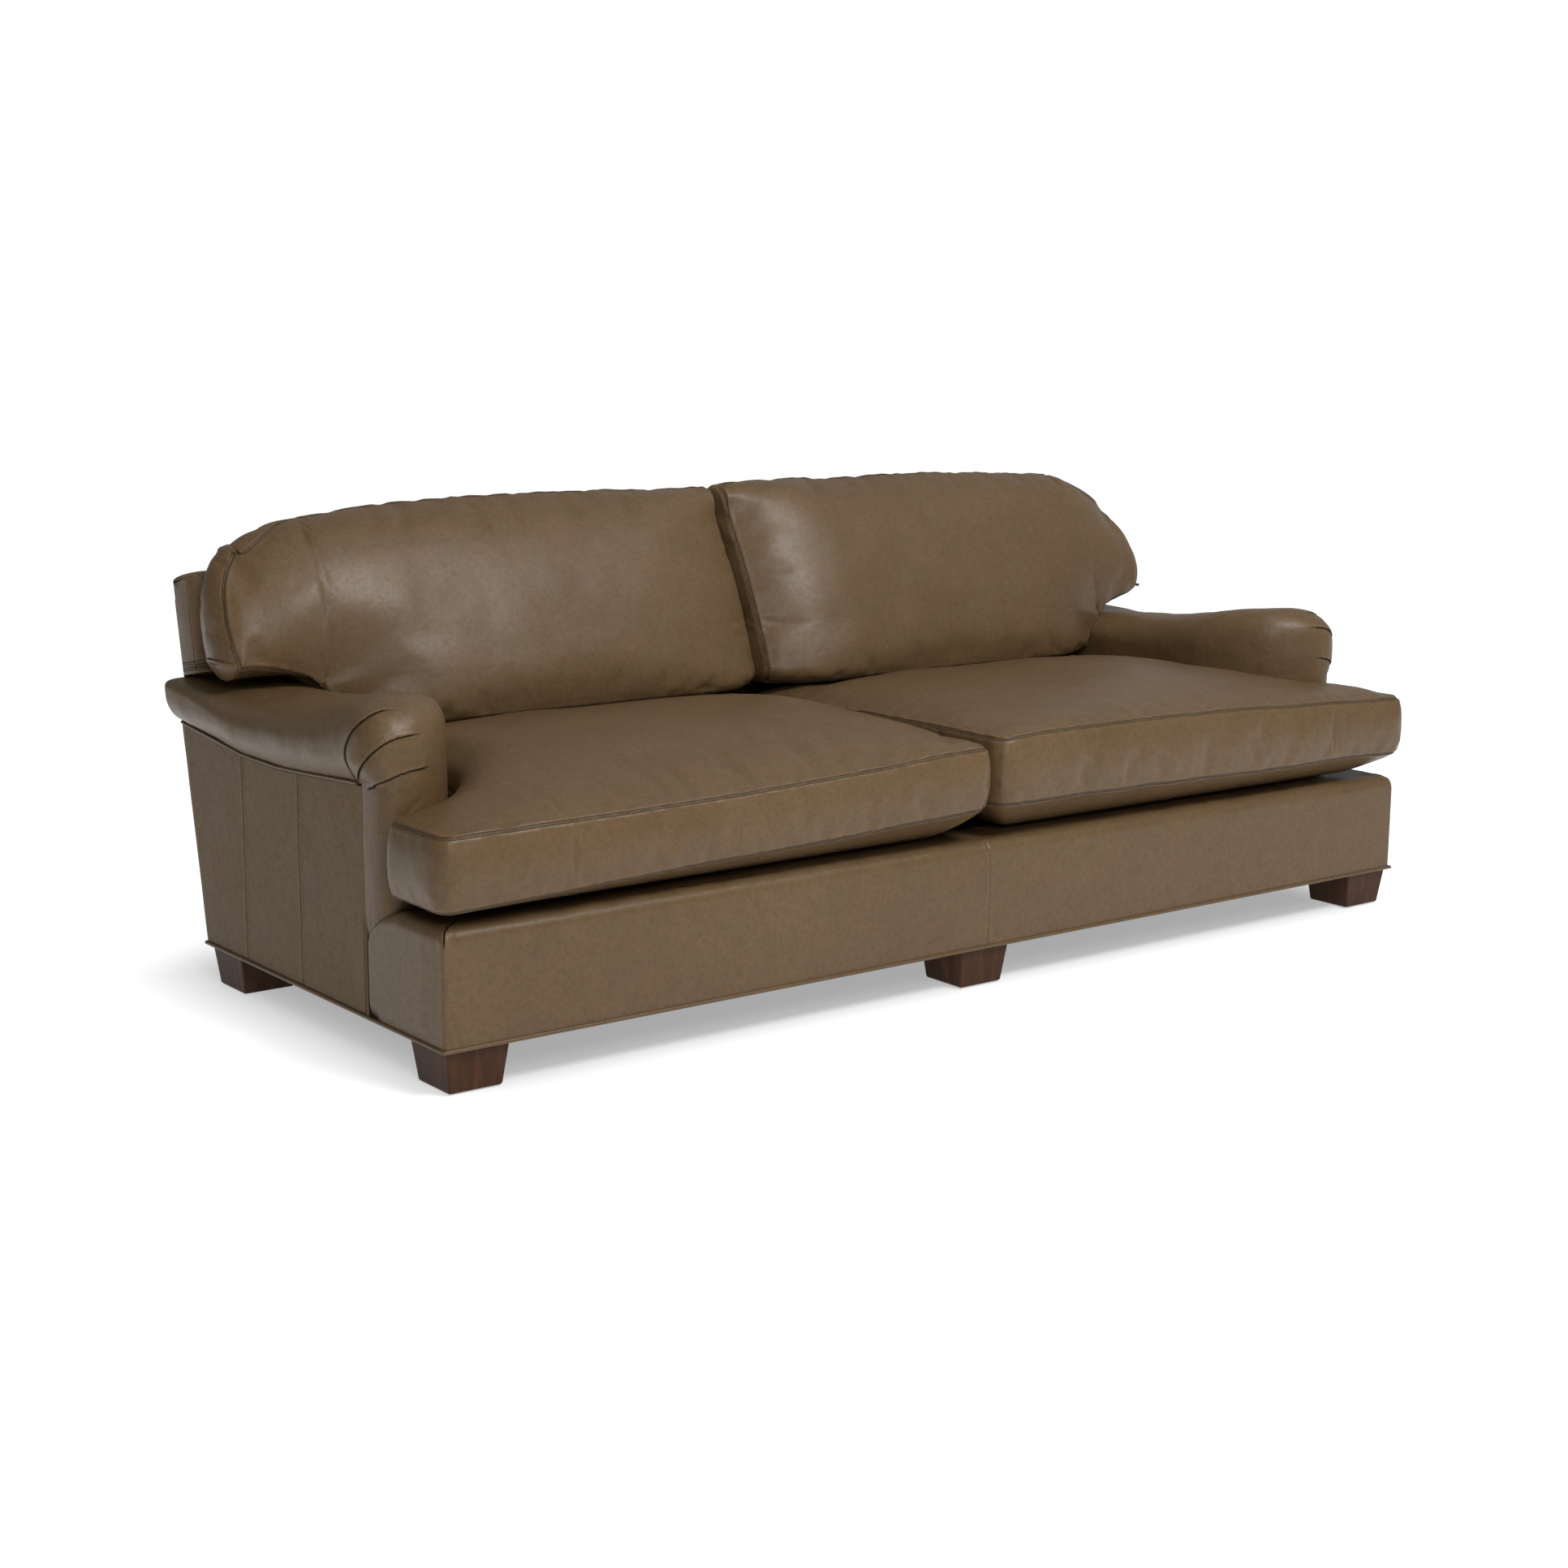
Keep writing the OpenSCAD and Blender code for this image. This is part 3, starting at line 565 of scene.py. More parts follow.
def walnut(name):
    """Dark stained walnut under a satin lacquer, the grain running up the foot."""
    t = Tree(name)
    P = t.mapping((34, 34, 2.6))
    streak = t.noise(1.6, 5, 0.62, 0.5, P)
    pore = t.noise(9.0, 3, 0.7, 0.1, t.mapping((60, 60, 5.0)))
    band = t.noise(0.55, 3, 0.5, 0.8, P)
    col = t.ramp(streak, [(0.30, (0.006, 0.0022, 0.0010)), (0.46, (0.016, 0.0058, 0.0024)), (0.58, (0.042, 0.0148, 0.0058)), (0.74, (0.088, 0.031, 0.0115))])
    col = t.mix(t.value(band, 0.0, 0.5, 0.35, 0.65), col, (0.024, 0.011, 0.006))
    col = t.mix(t.value(pore, 0.0, 0.6, 0.55, 0.75), col, (0.008, 0.004, 0.003))
    geo = t.node("ShaderNodeNewGeometry")
    col = t.mix(t.math("MULTIPLY", t.value(geo.outputs["Pointiness"], 0.0, 1.0, 0.51, 0.60), 0.35), col, (0.08, 0.036, 0.018))
    t.set(base_color=col, roughness=t.value(pore, 0.36, 0.54), specular=0.10, coat_weight=0.02, coat_roughness=0.25)
    t.set(normal=t.bump(streak, 0.12, 0.0008, t.bump(pore, 0.15, 0.0004)))
    return t.mat


def maple(name):
    t = Tree(name)
    a = t.noise(1.2, 5, 0.6, 0.8, t.mapping((3.0, 26, 26)))
    b = t.noise(8.0, 3, 0.6, 0.0, t.mapping((4.0, 60, 60)))
    col = t.ramp(a, [(0.3, (0.36, 0.22, 0.11)), (0.5, (0.50, 0.34, 0.18)), (0.7, (0.60, 0.43, 0.25))])
    col = t.mix(t.value(b, 0.0, 0.35, 0.5, 0.8), col, (0.26, 0.15, 0.07))
    t.set(base_color=col, roughness=t.value(b, 0.55, 0.75), normal=t.bump(b, 0.2, 0.0005))
    return t.mat


def foam(name):
    t = Tree(name)
    a = t.voronoi(420.0, "F1")
    b = t.noise(40.0, 4, 0.6)
    t.set(base_color=t.ramp(b, [(0.3, (0.62, 0.56, 0.38)), (0.7, (0.78, 0.73, 0.56))]), roughness=t.value(a, 0.85, 1.0), normal=t.bump(a, 0.5, 0.001))
    return t.mat


def cambric(name):
    """Fine black dust-cover cloth, plain weave."""
    t = Tree(name)
    w1 = t.node("ShaderNodeTexWave", wave_type="BANDS", bands_direction="X")
    w1.inputs["Scale"].default_value = 190
    w2 = t.node("ShaderNodeTexWave", wave_type="BANDS", bands_direction="Y")
    w2.inputs["Scale"].default_value = 190
    for w in (w1, w2):
        w.inputs["Distortion"].default_value = 0.6
        t.link(t.coord, w.inputs["Vector"])
    weave = t.math("MAXIMUM", w1.outputs["Fac"], w2.outputs["Fac"])
    dust = t.noise(9.0, 5, 0.6, 0.4)
    col = t.mix(t.value(dust, 0.0, 0.5, 0.45, 0.8), (0.012, 0.012, 0.013), (0.035, 0.033, 0.031))
    col = t.mix(t.math("MULTIPLY", weave, 0.4), col, (0.05, 0.05, 0.052))
    t.set(base_color=col, roughness=t.value(weave, 0.75, 0.95), normal=t.bump(weave, 0.35, 0.0006), specular=0.12)
    return t.mat


def jute(name):
    t = Tree(name)
    w1 = t.node("ShaderNodeTexWave", wave_type="BANDS", bands_direction="X")
    w1.inputs["Scale"].default_value = 90
    w2 = t.node("ShaderNodeTexWave", wave_type="BANDS", bands_direction="Z")
    w2.inputs["Scale"].default_value = 60
    for w in (w1, w2):
        w.inputs["Distortion"].default_value = 1.2
        t.link(t.coord, w.inputs["Vector"])
    weave = t.math("MULTIPLY", w1.outputs["Fac"], w2.outputs["Fac"])
    fib = t.noise(160.0, 4, 0.7)
    t.set(base_color=t.mix(t.value(fib, 0.0, 0.7, 0.4, 0.7), (0.42, 0.28, 0.13), (0.24, 0.15, 0.06)), roughness=t.value(fib, 0.8, 0.98), normal=t.bump(weave, 0.6, 0.0012))
    return t.mat


def chipboard(name):
    t = Tree(name)
    a = t.noise(70.0, 5, 0.7, 0.3)
    b = t.voronoi(140.0, "F1")
    col = t.ramp(a, [(0.35, (0.22, 0.14, 0.075)), (0.65, (0.38, 0.27, 0.15))])
    t.set(base_color=t.mix(t.value(b, 0.3, 0.0, 0.0, 0.6), col, (0.16, 0.10, 0.05)), roughness=t.value(a, 0.75, 0.95), normal=t.bump(a, 0.25, 0.0006))
    return t.mat


def metal(name, color, rough=0.32, brushed=True):
    t = Tree(name)
    a = t.noise(60.0, 4, 0.6, 0.3)
    b = t.noise(1.0, 3, 0.5, 0.0, t.mapping((60, 900, 900) if brushed else (300, 300, 300)))
    dark = tuple(x * 0.6 for x in color)
    t.set(base_color=t.mix(t.value(a, 0.0, 0.6, 0.4, 0.8), color, dark), metallic=1.0, roughness=t.value(b, rough - 0.08, rough + 0.14), normal=t.bump(b, 0.08, 0.0003))
    return t.mat


def tape(name):
    """Zipper tape: bands across it, with fine speckle and a bump from the bands."""
    t = Tree(name)
    w = t.node("ShaderNodeTexWave", wave_type="BANDS", bands_direction="X")
    w.inputs["Scale"].default_value = 160
    w.inputs["Distortion"].default_value = 0.1
    t.link(t.coord, w.inputs["Vector"])
    fine = t.noise(320.0, 3, 0.6)
    col = t.mix(t.math("MULTIPLY", w.outputs["Fac"], 0.7), (0.020, 0.015, 0.011), (0.085, 0.064, 0.046))
    t.set(base_color=t.mix(t.value(fine, 0.0, 0.4, 0.4, 0.8), col, (0.03, 0.024, 0.018)), roughness=t.value(fine, 0.45, 0.7), normal=t.bump(w.outputs["Fac"], 0.6, 0.0009))
    return t.mat


def plastic(name):
    t = Tree(name)
    a = t.noise(240.0, 3, 0.6)
    t.set(base_color=t.mix(t.value(a, 0.0, 0.5, 0.4, 0.8), (0.014, 0.014, 0.015), (0.04, 0.04, 0.042)), roughness=t.value(a, 0.4, 0.6), normal=t.bump(a, 0.1, 0.0004))
    return t.mat


def thread_look(name):
    t = Tree(name)
    w = t.noise(900.0, 2, 0.5)
    t.set(base_color=t.mix(t.value(w, 0.0, 1.0, 0.3, 0.7), (0.052, 0.037, 0.024), (0.105, 0.078, 0.052)), roughness=t.value(w, 0.5, 0.7), normal=t.bump(w, 0.2, 0.0003))
    return t.mat


LOOK = {
    "leather": leather("leather", 1.0, 1.0, 0.0),
    "welt_leather": leather("welt_leather", 0.93, 0.8, 3.1),
    "walnut": walnut("walnut"),
    "maple": maple("maple"),
    "foam": foam("foam"),
    "black_cambric": cambric("black_cambric"),
    "jute_webbing": jute("jute_webbing"),
    "chipboard": chipboard("chipboard"),
    "steel": metal("steel", (0.42, 0.43, 0.44)),
    "glide_plastic": plastic("glide_plastic"),
    "zipper_tape": tape("zipper_tape"),
    "zip_metal": metal("zip_metal", (0.30, 0.24, 0.17), 0.28, False),
}
THREAD = thread_look("thread")
# painted light: the outside arms get their own copy of the leather, 4 % lighter and with far less gloss, so they look
# lighter and reflect less of the bright floor
OUTSIDE_ARM_PAINTED_LIGHT_LEATHER = leather("leather_outside", 1.04, 1.0, 0.0, 0.07)
for o in NODE.values():
    for s in o.material_slots:
        key = s.material.name.split(".")[0]
        if key in LOOK:
            s.material = LOOK[key]


def finish_piece(ob, body, slot="leather", look=None, replaces=()):
    ob.data.materials.clear()
    ob.data.materials.append(look or LOOK[slot])
    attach(ob, body)
    if replaces:
        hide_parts(*replaces)
    return ob


# ---------------------------------------------------------------- arms (built on the right, mirrored for the left)
def plan_curve(outer, inner, step=0.0005):
    """Plan of the arm's front, from the outside round to the inside: a tight outer corner, then one wide sweep."""
    (cx, cy, ax, by, p), (ix, iy, ex) = outer, inner
    q = np.linspace(0, np.pi / 2, 400)
    c, s_ = np.cos(q).clip(0), np.sin(q)
    first = np.stack([cx + ax * c ** (2 / p), cy - by * s_ ** (2 / p)], 1)
    front = cy - by
    q = np.linspace(np.pi / 2, 0, 900)
    c, s_ = np.cos(q).clip(0), np.sin(q)
    second = np.stack([cx - (cx - ix) * c ** (2 / ex), iy - (iy - front) * s_ ** (2 / ex)], 1)
    pts = np.concatenate([[(cx + ax, cy + 0.05)], first, second[1:], [(ix, iy + 0.06)]])
    d = np.concatenate([[0], np.cumsum(np.linalg.norm(np.diff(pts, axis=0), axis=1))])
    u = np.arange(0, d[-1], step)
    even = np.stack([np.interp(u, d, pts[:, k]) for k in (0, 1)], 1)
    w = np.hanning(41)
    w /= w.sum()
    soft = np.stack([np.convolve(np.pad(even[:, k], 20, mode="reflect", reflect_type="odd"), w, "valid") for k in (0, 1)], 1)
    a0 = np.argmin(abs(u - 0.05))
    a1 = np.argmin(abs(u - (d[-1] - 0.06)))
    return soft[a0 : a1 + 1]


P_FRONT, R_FRONT, INNER_Y = -0.250, -0.235, -0.080
P_PLAN = plan_curve((1.120, P_FRONT, 0.042, 0.063, 2.7), (XI, INNER_Y, 1.75))
R_PLAN = plan_curve((1.117, R_FRONT, 0.073, 0.078, 2.6), (XI, INNER_Y, 1.75))
R_CX, R_CY = 1.072, -0.185


def on_plan(plan, t):
    k = np.asarray(t) * (len(plan) - 1)
    return np.stack([np.interp(k, np.arange(len(plan)), plan[:, j]) for j in (0, 1)], -1)


def lines(*parts):
    """Sorted grid lines from (start, end, step) spans and single numbers."""
    out = []
    for p in parts:
        if isinstance(p, tuple):
            n = max(1, int(round(abs(p[1] - p[0]) / p[2])))
            out += list(np.linspace(p[0], p[1], n + 1))
        else:
            out.append(p)
    out = sorted(out)
    keep = [out[0]]
    for x in out[1:]:
        if x - keep[-1] > 4e-4:
            keep.append(x)
    return np.array(keep)


class ArmLine:
    """Stations along the arm: outside from the rear to the front, round the front, and back along the inside."""

    def __init__(self, w_out, t, w_in):
        no, ni = len(w_out), len(w_in)
        self.w = np.concatenate([w_out, np.zeros(len(t)), w_in])
        tt = np.concatenate([np.zeros(no), t, np.ones(ni)])
        P, R = on_plan(P_PLAN, tt), on_plan(R_PLAN, tt)
        self.px, self.py = P[:, 0], P[:, 1]
        self.rx, self.ry = R[:, 0], R[:, 1]
        self.t = tt
        yp = self.py + (0.478 - self.py) * self.w
        yr = R_CY + (0.476 - R_CY) * self.w
        self.zk = welt_z(np.maximum(yp, -0.24))
        self.zr = arm_top(yr) + 0.010 * np.clip((yr - 0.36) / 0.11, 0, 1) ** 1.5
        self.ze = self.zk + 0.050
        ys = self.ry + (0.476 - self.ry) * self.w
        k = np.clip((-0.10 - ys) / 0.17, 0, 1)
        self.front = k * k * (3 - 2 * k)
        rear = np.clip((ys - 0.24) / 0.23, 0, 1)
        self.rear = rear * rear * (3 - 2 * rear)
        self.p = 2.35 + 0.95 * self.front + 3.6 * self.rear

    def place(self, x, y0, z):
        gap = 0.0075
        return np.stack([x, y0 + (rear_y(z) - gap - y0) * self.w[:, None], z], -1)

    def wall(self, z0, fractions):
        """Rows below the welt line."""
        a = np.asarray(fractions)[None, :]
        z = z0[:, None] + (self.zk[:, None] - z0[:, None]) * a
        x = np.repeat(self.px[:, None], a.shape[1], 1)
        y = np.repeat(self.py[:, None], a.shape[1], 1)
        return self.place(x, y, z)

    def under(self, n=9, lift=0.0028):
        """Rows from the welt line out to the roll's widest line."""
        u = np.linspace(0, 1, n)[None, :]
        z = (self.zk + lift)[:, None] * (1 - u) + self.ze[:, None] * u
        k = np.sin(u * np.pi / 2) ** (0.92 - 0.30 * self.rear[:, None])
        x = self.px[:, None] + (self.rx - self.px)[:, None] * k
        y = self.py[:, None] + (self.ry - self.py)[:, None] * k
        return self.place(x, y, z)

    def over(self, n=20):
        """Rows from the widest line up to the ridge."""
        th = np.linspace(0, np.pi / 2, n)[None, :]
        p = self.p[:, None]
        c = np.cos(th).clip(0) ** (2 / p)
        s = np.sin(th) ** (2 / p)
        x = R_CX + (self.rx - R_CX)[:, None] * c
        y = R_CY + (self.ry - R_CY)[:, None] * c
        z = self.ze[:, None] + (self.zr - self.ze)[:, None] * s
        P = self.place(x, y, z)
        P[..., 2] += 0.0055 * np.exp(-(((P[..., 1] + 0.240) / 0.036) ** 2)) * s**2 * self.front[:, None]
        return P


def off_rail(x, y, z):
    """Keeps the leather outside the side rail where the front column curves inwards below the border's top."""
    k = np.clip((0.254 - z) / 0.016, 0, 1) * np.clip((y + 0.274) / 0.012, 0, 1) * (x > 1.12)
    return x + k * np.maximum(0, 1.1576 - x)


def arm_skin():
    w = lines((0, 0.93, 0.0165), (0.93, 1, 0.02))
    t = np.linspace(0, 1, 104)[1:-1]
    full = ArmLine(w[::-1], t, w)
    U, O = full.under(), full.over()
    skin = Skin()
    skin.grid(np.concatenate([U, O[:, 1:]], 1), flip=True)
    low = ArmLine(np.array([0.0285, 0.0240, 0.0195, 0.0145, 0.0100, 0.0050, 0.0]), t, w)
    z0 = 0.186 + 0.05 * np.clip(low.t / 0.3, 0, 1)
    z0 = np.where(low.t == 0, 0.080, z0)
    fr = np.concatenate([np.linspace(0, 0.93, 24), [0.965, 0.988, 1.0]])
    W = low.wall(z0, fr)
    W[..., 0] = off_rail(W[..., 0], W[..., 1], W[..., 2])
    W[..., 0] -= 0.0009 * np.clip((W[..., 1] + 0.2370) / 0.007, 0, 1) * (W[..., 0] > 1.1)
    dip = np.clip((W[..., 1] + 0.2520) / 0.004, 0, 1) * np.clip((0.232 - W[..., 2]) / 0.014, 0, 1)
    W[..., 0] -= np.clip(W[..., 0] - 1.1580, 0, None) * dip
    skin.grid(np.concatenate([W, low.under()[:, :1]], 1), flip=True)
    # the roll's lower edge is tucked in behind the welt
    no = len(w)
    lip = U[:no, 0].copy()
    mid_ = lip.copy()
    lip[:, 0] -= 0.0060
    lip[:, 2] -= 0.0075
    mid_[:, 0] -= 0.0018
    mid_[:, 2] -= 0.0030
    skin.grid(np.stack([lip, mid_, U[:no, 0]], 1), flip=True)
    # leather closing the rear end of the roll, drawn in towards its middle
    a = np.concatenate([U[0], O[0, 1:]], 0)
    b = np.concatenate([U[-1], O[-1, 1:]], 0)[::-1][1:]
    ring = np.concatenate([a, b])
    mid = np.array([1.072, 0, float(ring[0, 2]) - 0.004])
    ring = np.concatenate([[lip[0]], ring])
    mid[1] = rear_y(mid[2]) - 0.004
    rings = [ring]
    for k, back in ((0.985, 0.002), (0.95, 0.0033), (0.8, 0.0037), (0.5, 0.0037), (0.02, 0.0037)):
        r = mid + (ring - mid) * k
        r[:, 1] = rear_y(r[:, 2]) - 0.0075 + back
        rings.append(r)
    skin.grid(np.stack(rings, 0).transpose(1, 0, 2), flip=True)
    return skin


def carve(ob, curves):
    """Folds pleats: the leather above each line laps over the leather below it and swells between the lines."""
    v, n = coords(ob), normals(ob)
    move = np.zeros(len(v))
    for pts, deep, up in curves:
        c = bend(pts, 0.0012)
        f = np.linspace(0, 1, len(c))
        prof = np.interp(f, [0, 0.10, 0.72, 1], deep)
        d, k = distance_to(v, c)
        t = np.gradient(c, axis=0)
        t /= np.linalg.norm(t, axis=1)[:, None]
        side = np.einsum("ij,ij->i", np.cross(n, t[k]), v - c[k]) * up
        a = prof[k] * np.clip(1 - np.abs(np.einsum("ij,ij->i", t[k], v - c[k])) / 0.008, 0, 1)
        swell = np.interp(f, [0, 0.3, 1], [0.25, 1.0, 1.0])[k]
        lap = 0.0011 * np.exp(-(((side - 0.007) / 0.009) ** 2)) * (side > 0) + 0.0007 * (side > 0) * np.exp(-side.clip(0) / 0.010)
        sink = -0.0013 * np.exp(-(((side + 0.002) / 0.005) ** 2)) * (side <= 0) + 0.0006 * np.exp(-(((side + 0.016) / 0.009) ** 2)) * (side <= 0)
        move += (lap + sink) * a * swell
    set_coords(ob, v + n * move[:, None])


def panel_skin():
    """Outside arm panel, from the front fold to the leaning rear edge."""
    near = [s * o for o in (0.0, 0.0022, 0.0045, 0.0075, 0.012) for s in (1, -1)]
    y = lines((-0.260, -0.236, 0.008), -0.2385, -0.2345, -0.2325, -0.2300, -0.2275, -0.2262, -0.2245, (-0.236, -0.199, 0.0055), (-0.199, 0.232, 0.0135), *[0.0 + o for o in near], *[0.218 + o for o in near])
    y = np.concatenate([y, np.linspace(0.232, 1.0 + 0.232, 17)[1:]])
    a = np.concatenate([[0, 0.006, 0.018], np.linspace(0.036, 0.955, 27), [0.978, 0.992, 1.0]])
    Y, A = np.meshgrid(y, a, indexing="ij")
    w = np.clip(Y - 0.232, 0, 1)
    yn = np.where(Y > 0.232, 0.232 + w * (0.466 - 0.232), Y)
    z = 0.0800 + (welt_z(yn) - 0.0034 - 0.0800) * A
    yy = np.where(Y > 0.232, 0.232 + w * (rear_y(z) - 0.0025 - 0.232), Y)
    x = np.full_like(yy, HW)
    P = np.stack([x, yy, z], -1)
    soft = (0.0011 * noise(P.reshape(-1, 3), 0.16, 5) + 0.0006 * noise(P.reshape(-1, 3), 0.06, 9)).reshape(z.shape)
    hold = np.minimum(1, np.minimum((z - 0.0826) / 0.05, (welt_z(yn) - z) / 0.05).clip(0)) * np.minimum(1, (yy + 0.236) / 0.05)
    P[..., 0] += soft * hold - 0.0004
    low = np.clip((0.262 - z) / 0.035, 0, 1)
    P[..., 0] += (0.0020 * np.exp(-(((yy + 0.2325) / 0.0034) ** 2)) - 0.0014 * np.exp(-(((yy + 0.2275) / 0.0016) ** 2))) * low
    P[..., 0] -= np.clip((-0.2345 - yy) / 0.003, 0, 1) * 0.0030
    skin = Skin()
    skin.grid(P)
    return skin


# pleats at the front of the arm, from the end of the welt up over the roll and round the front
PLEATS = {
    -1: [
        ([(1.164, -0.216, 0.480), (1.172, -0.223, 0.4865), (1.184, -0.230, 0.505), (1.189, -0.2273, 0.520), (1.1897, -0.2268, 0.532), (1.189, -0.231, 0.546), (1.1875, -0.240, 0.5606), (1.183, -0.255, 0.576), (1.174, -0.2656, 0.587), (1.159, -0.2715, 0.597), (1.1457, -0.274, 0.6014), (1.132, -0.2766, 0.6027), (1.116, -0.279, 0.603)], (0.9, 1.0, 1.0, 0.0)),
        ([(1.167, -0.228, 0.481), (1.1794, -0.250, 0.494), (1.1857, -0.2687, 0.5084), (1.1854, -0.2808, 0.521), (1.180, -0.2905, 0.5324), (1.1704, -0.3004, 0.5435), (1.159, -0.3068, 0.5526), (1.1436, -0.3115, 0.559), (1.127, -0.3135, 0.5623), (1.108, -0.3116, 0.5634), (1.089, -0.3055, 0.562)], (0.9, 1.0, 1.0, 0.0)),
        ([(1.162, -0.254, 0.4713), (1.1646, -0.280, 0.479), (1.1646, -0.2924, 0.4843), (1.1526, -0.3089, 0.4936), (1.1318, -0.3146, 0.501), (1.1106, -0.3141, 0.5046), (1.093, -0.3096, 0.5055), (1.073, -0.299, 0.5055)], (0.5, 1.0, 1.0, 0.0)),
    ],
    1: [
        ([(1.164, -0.216, 0.480), (1.172, -0.223, 0.4865), (1.184, -0.230, 0.505), (1.189, -0.2273, 0.522), (1.1897, -0.2268, 0.540), (1.188, -0.232, 0.560), (1.184, -0.243, 0.578), (1.176, -0.252, 0.591), (1.165, -0.256, 0.600), (1.1531, -0.257, 0.605), (1.1346, -0.261, 0.608), (1.108, -0.268, 0.609)], (0.9, 1.0, 1.0, 0.0)),
        ([(1.167, -0.228, 0.481), (1.1794, -0.250, 0.496), (1.185, -0.2687, 0.514), (1.183, -0.282, 0.534), (1.176, -0.292, 0.552), (1.163, -0.299, 0.567), (1.1427, -0.302, 0.5757), (1.1155, -0.3023, 0.581), (1.086, -0.297, 0.581)], (0.9, 1.0, 1.0, 0.0)),
        ([(1.162, -0.254, 0.4713), (1.1646, -0.280, 0.482), (1.1646, -0.295, 0.492), (1.1548, -0.3072, 0.506), (1.1253, -0.3139, 0.5137), (1.100, -0.312, 0.517)], (0.5, 1.0, 1.0, 0.0)),
    ],
}


for side, sign in SIDES:
    arm = arm_skin().object("arm_" + side, mirror=sign < 0, weld=3e-4)
    subdivide(arm, 1)
    v, n = coords(arm), normals(arm)
    q = v * np.array([sign, 1, 1])
    soft = 0.0016 * fbm(q, 0.11, 40 + sign, 2) + 0.0007 * noise(q, 0.035, 44 + sign)
    hold = np.clip((v[:, 2] - 0.472) / 0.03, 0, 1)
    set_coords(arm, v + n * (soft * (0.35 + 0.65 * hold))[:, None])
    find = surface_lookup(arm)
    lines_3d = [find(bend(np.array(p) * [sign, 1, 1], 0.002))[0] for p, deep in PLEATS[sign]]
    carve(arm, [(p, deep, -sign) for p, (_, deep) in zip(lines_3d, PLEATS[sign])])
    find = surface_lookup(arm)
    # the leather look paints shade in each pleat's crease and a highlight on its lap
    for k, p in enumerate(lines_3d):
        mark_fold(arm, k + 1, find(p)[0], ([0, 0.03, 0.86, 1], [0.8, 1.0, 1.0, 0.0]), -sign)
    v = coords(arm)
    # painted shade: low on the front column, in the gap beside the border's end, the leather goes near black
    set_attribute(arm, "dark", np.clip((v[:, 1] + 0.2485) / 0.003, 0, 1) * (v[:, 1] < -0.2) * (np.abs(v[:, 0]) > 1.15) * np.clip((0.222 - v[:, 2]) / 0.01, 0, 1))
    finish_piece(arm, "frame", replaces=("arm_cover_" + side, "arm_pad_" + side))

    panel = panel_skin().object("outside_arm_" + side, mirror=sign < 0)
    subdivide(panel, 1)
    seam_valley(panel, [[(sign * HW, y, 0.080), (sign * HW, y, 0.46)] for y in (0.0, 0.218)], depth=0.0009, width=0.0020, lip=0.0004, mark=0.655)
    # painted shade along the small fold near the panel's front edge and on the edge's turn-in, below the border's top
    v = coords(panel)
    fold = np.maximum(np.exp(-(((v[:, 1] + 0.2272) / 0.0017) ** 2)), np.clip((-0.2358 - v[:, 1]) / 0.0012, 0, 1))
    set_attribute(panel, "dark", fold * np.clip((0.262 - v[:, 2]) / 0.03, 0, 1))
    thicken(panel, 0.0018)
    finish_piece(panel, "frame", look=OUTSIDE_ARM_PAINTED_LIGHT_LEATHER, replaces=("outside_arm_cover_" + side,))


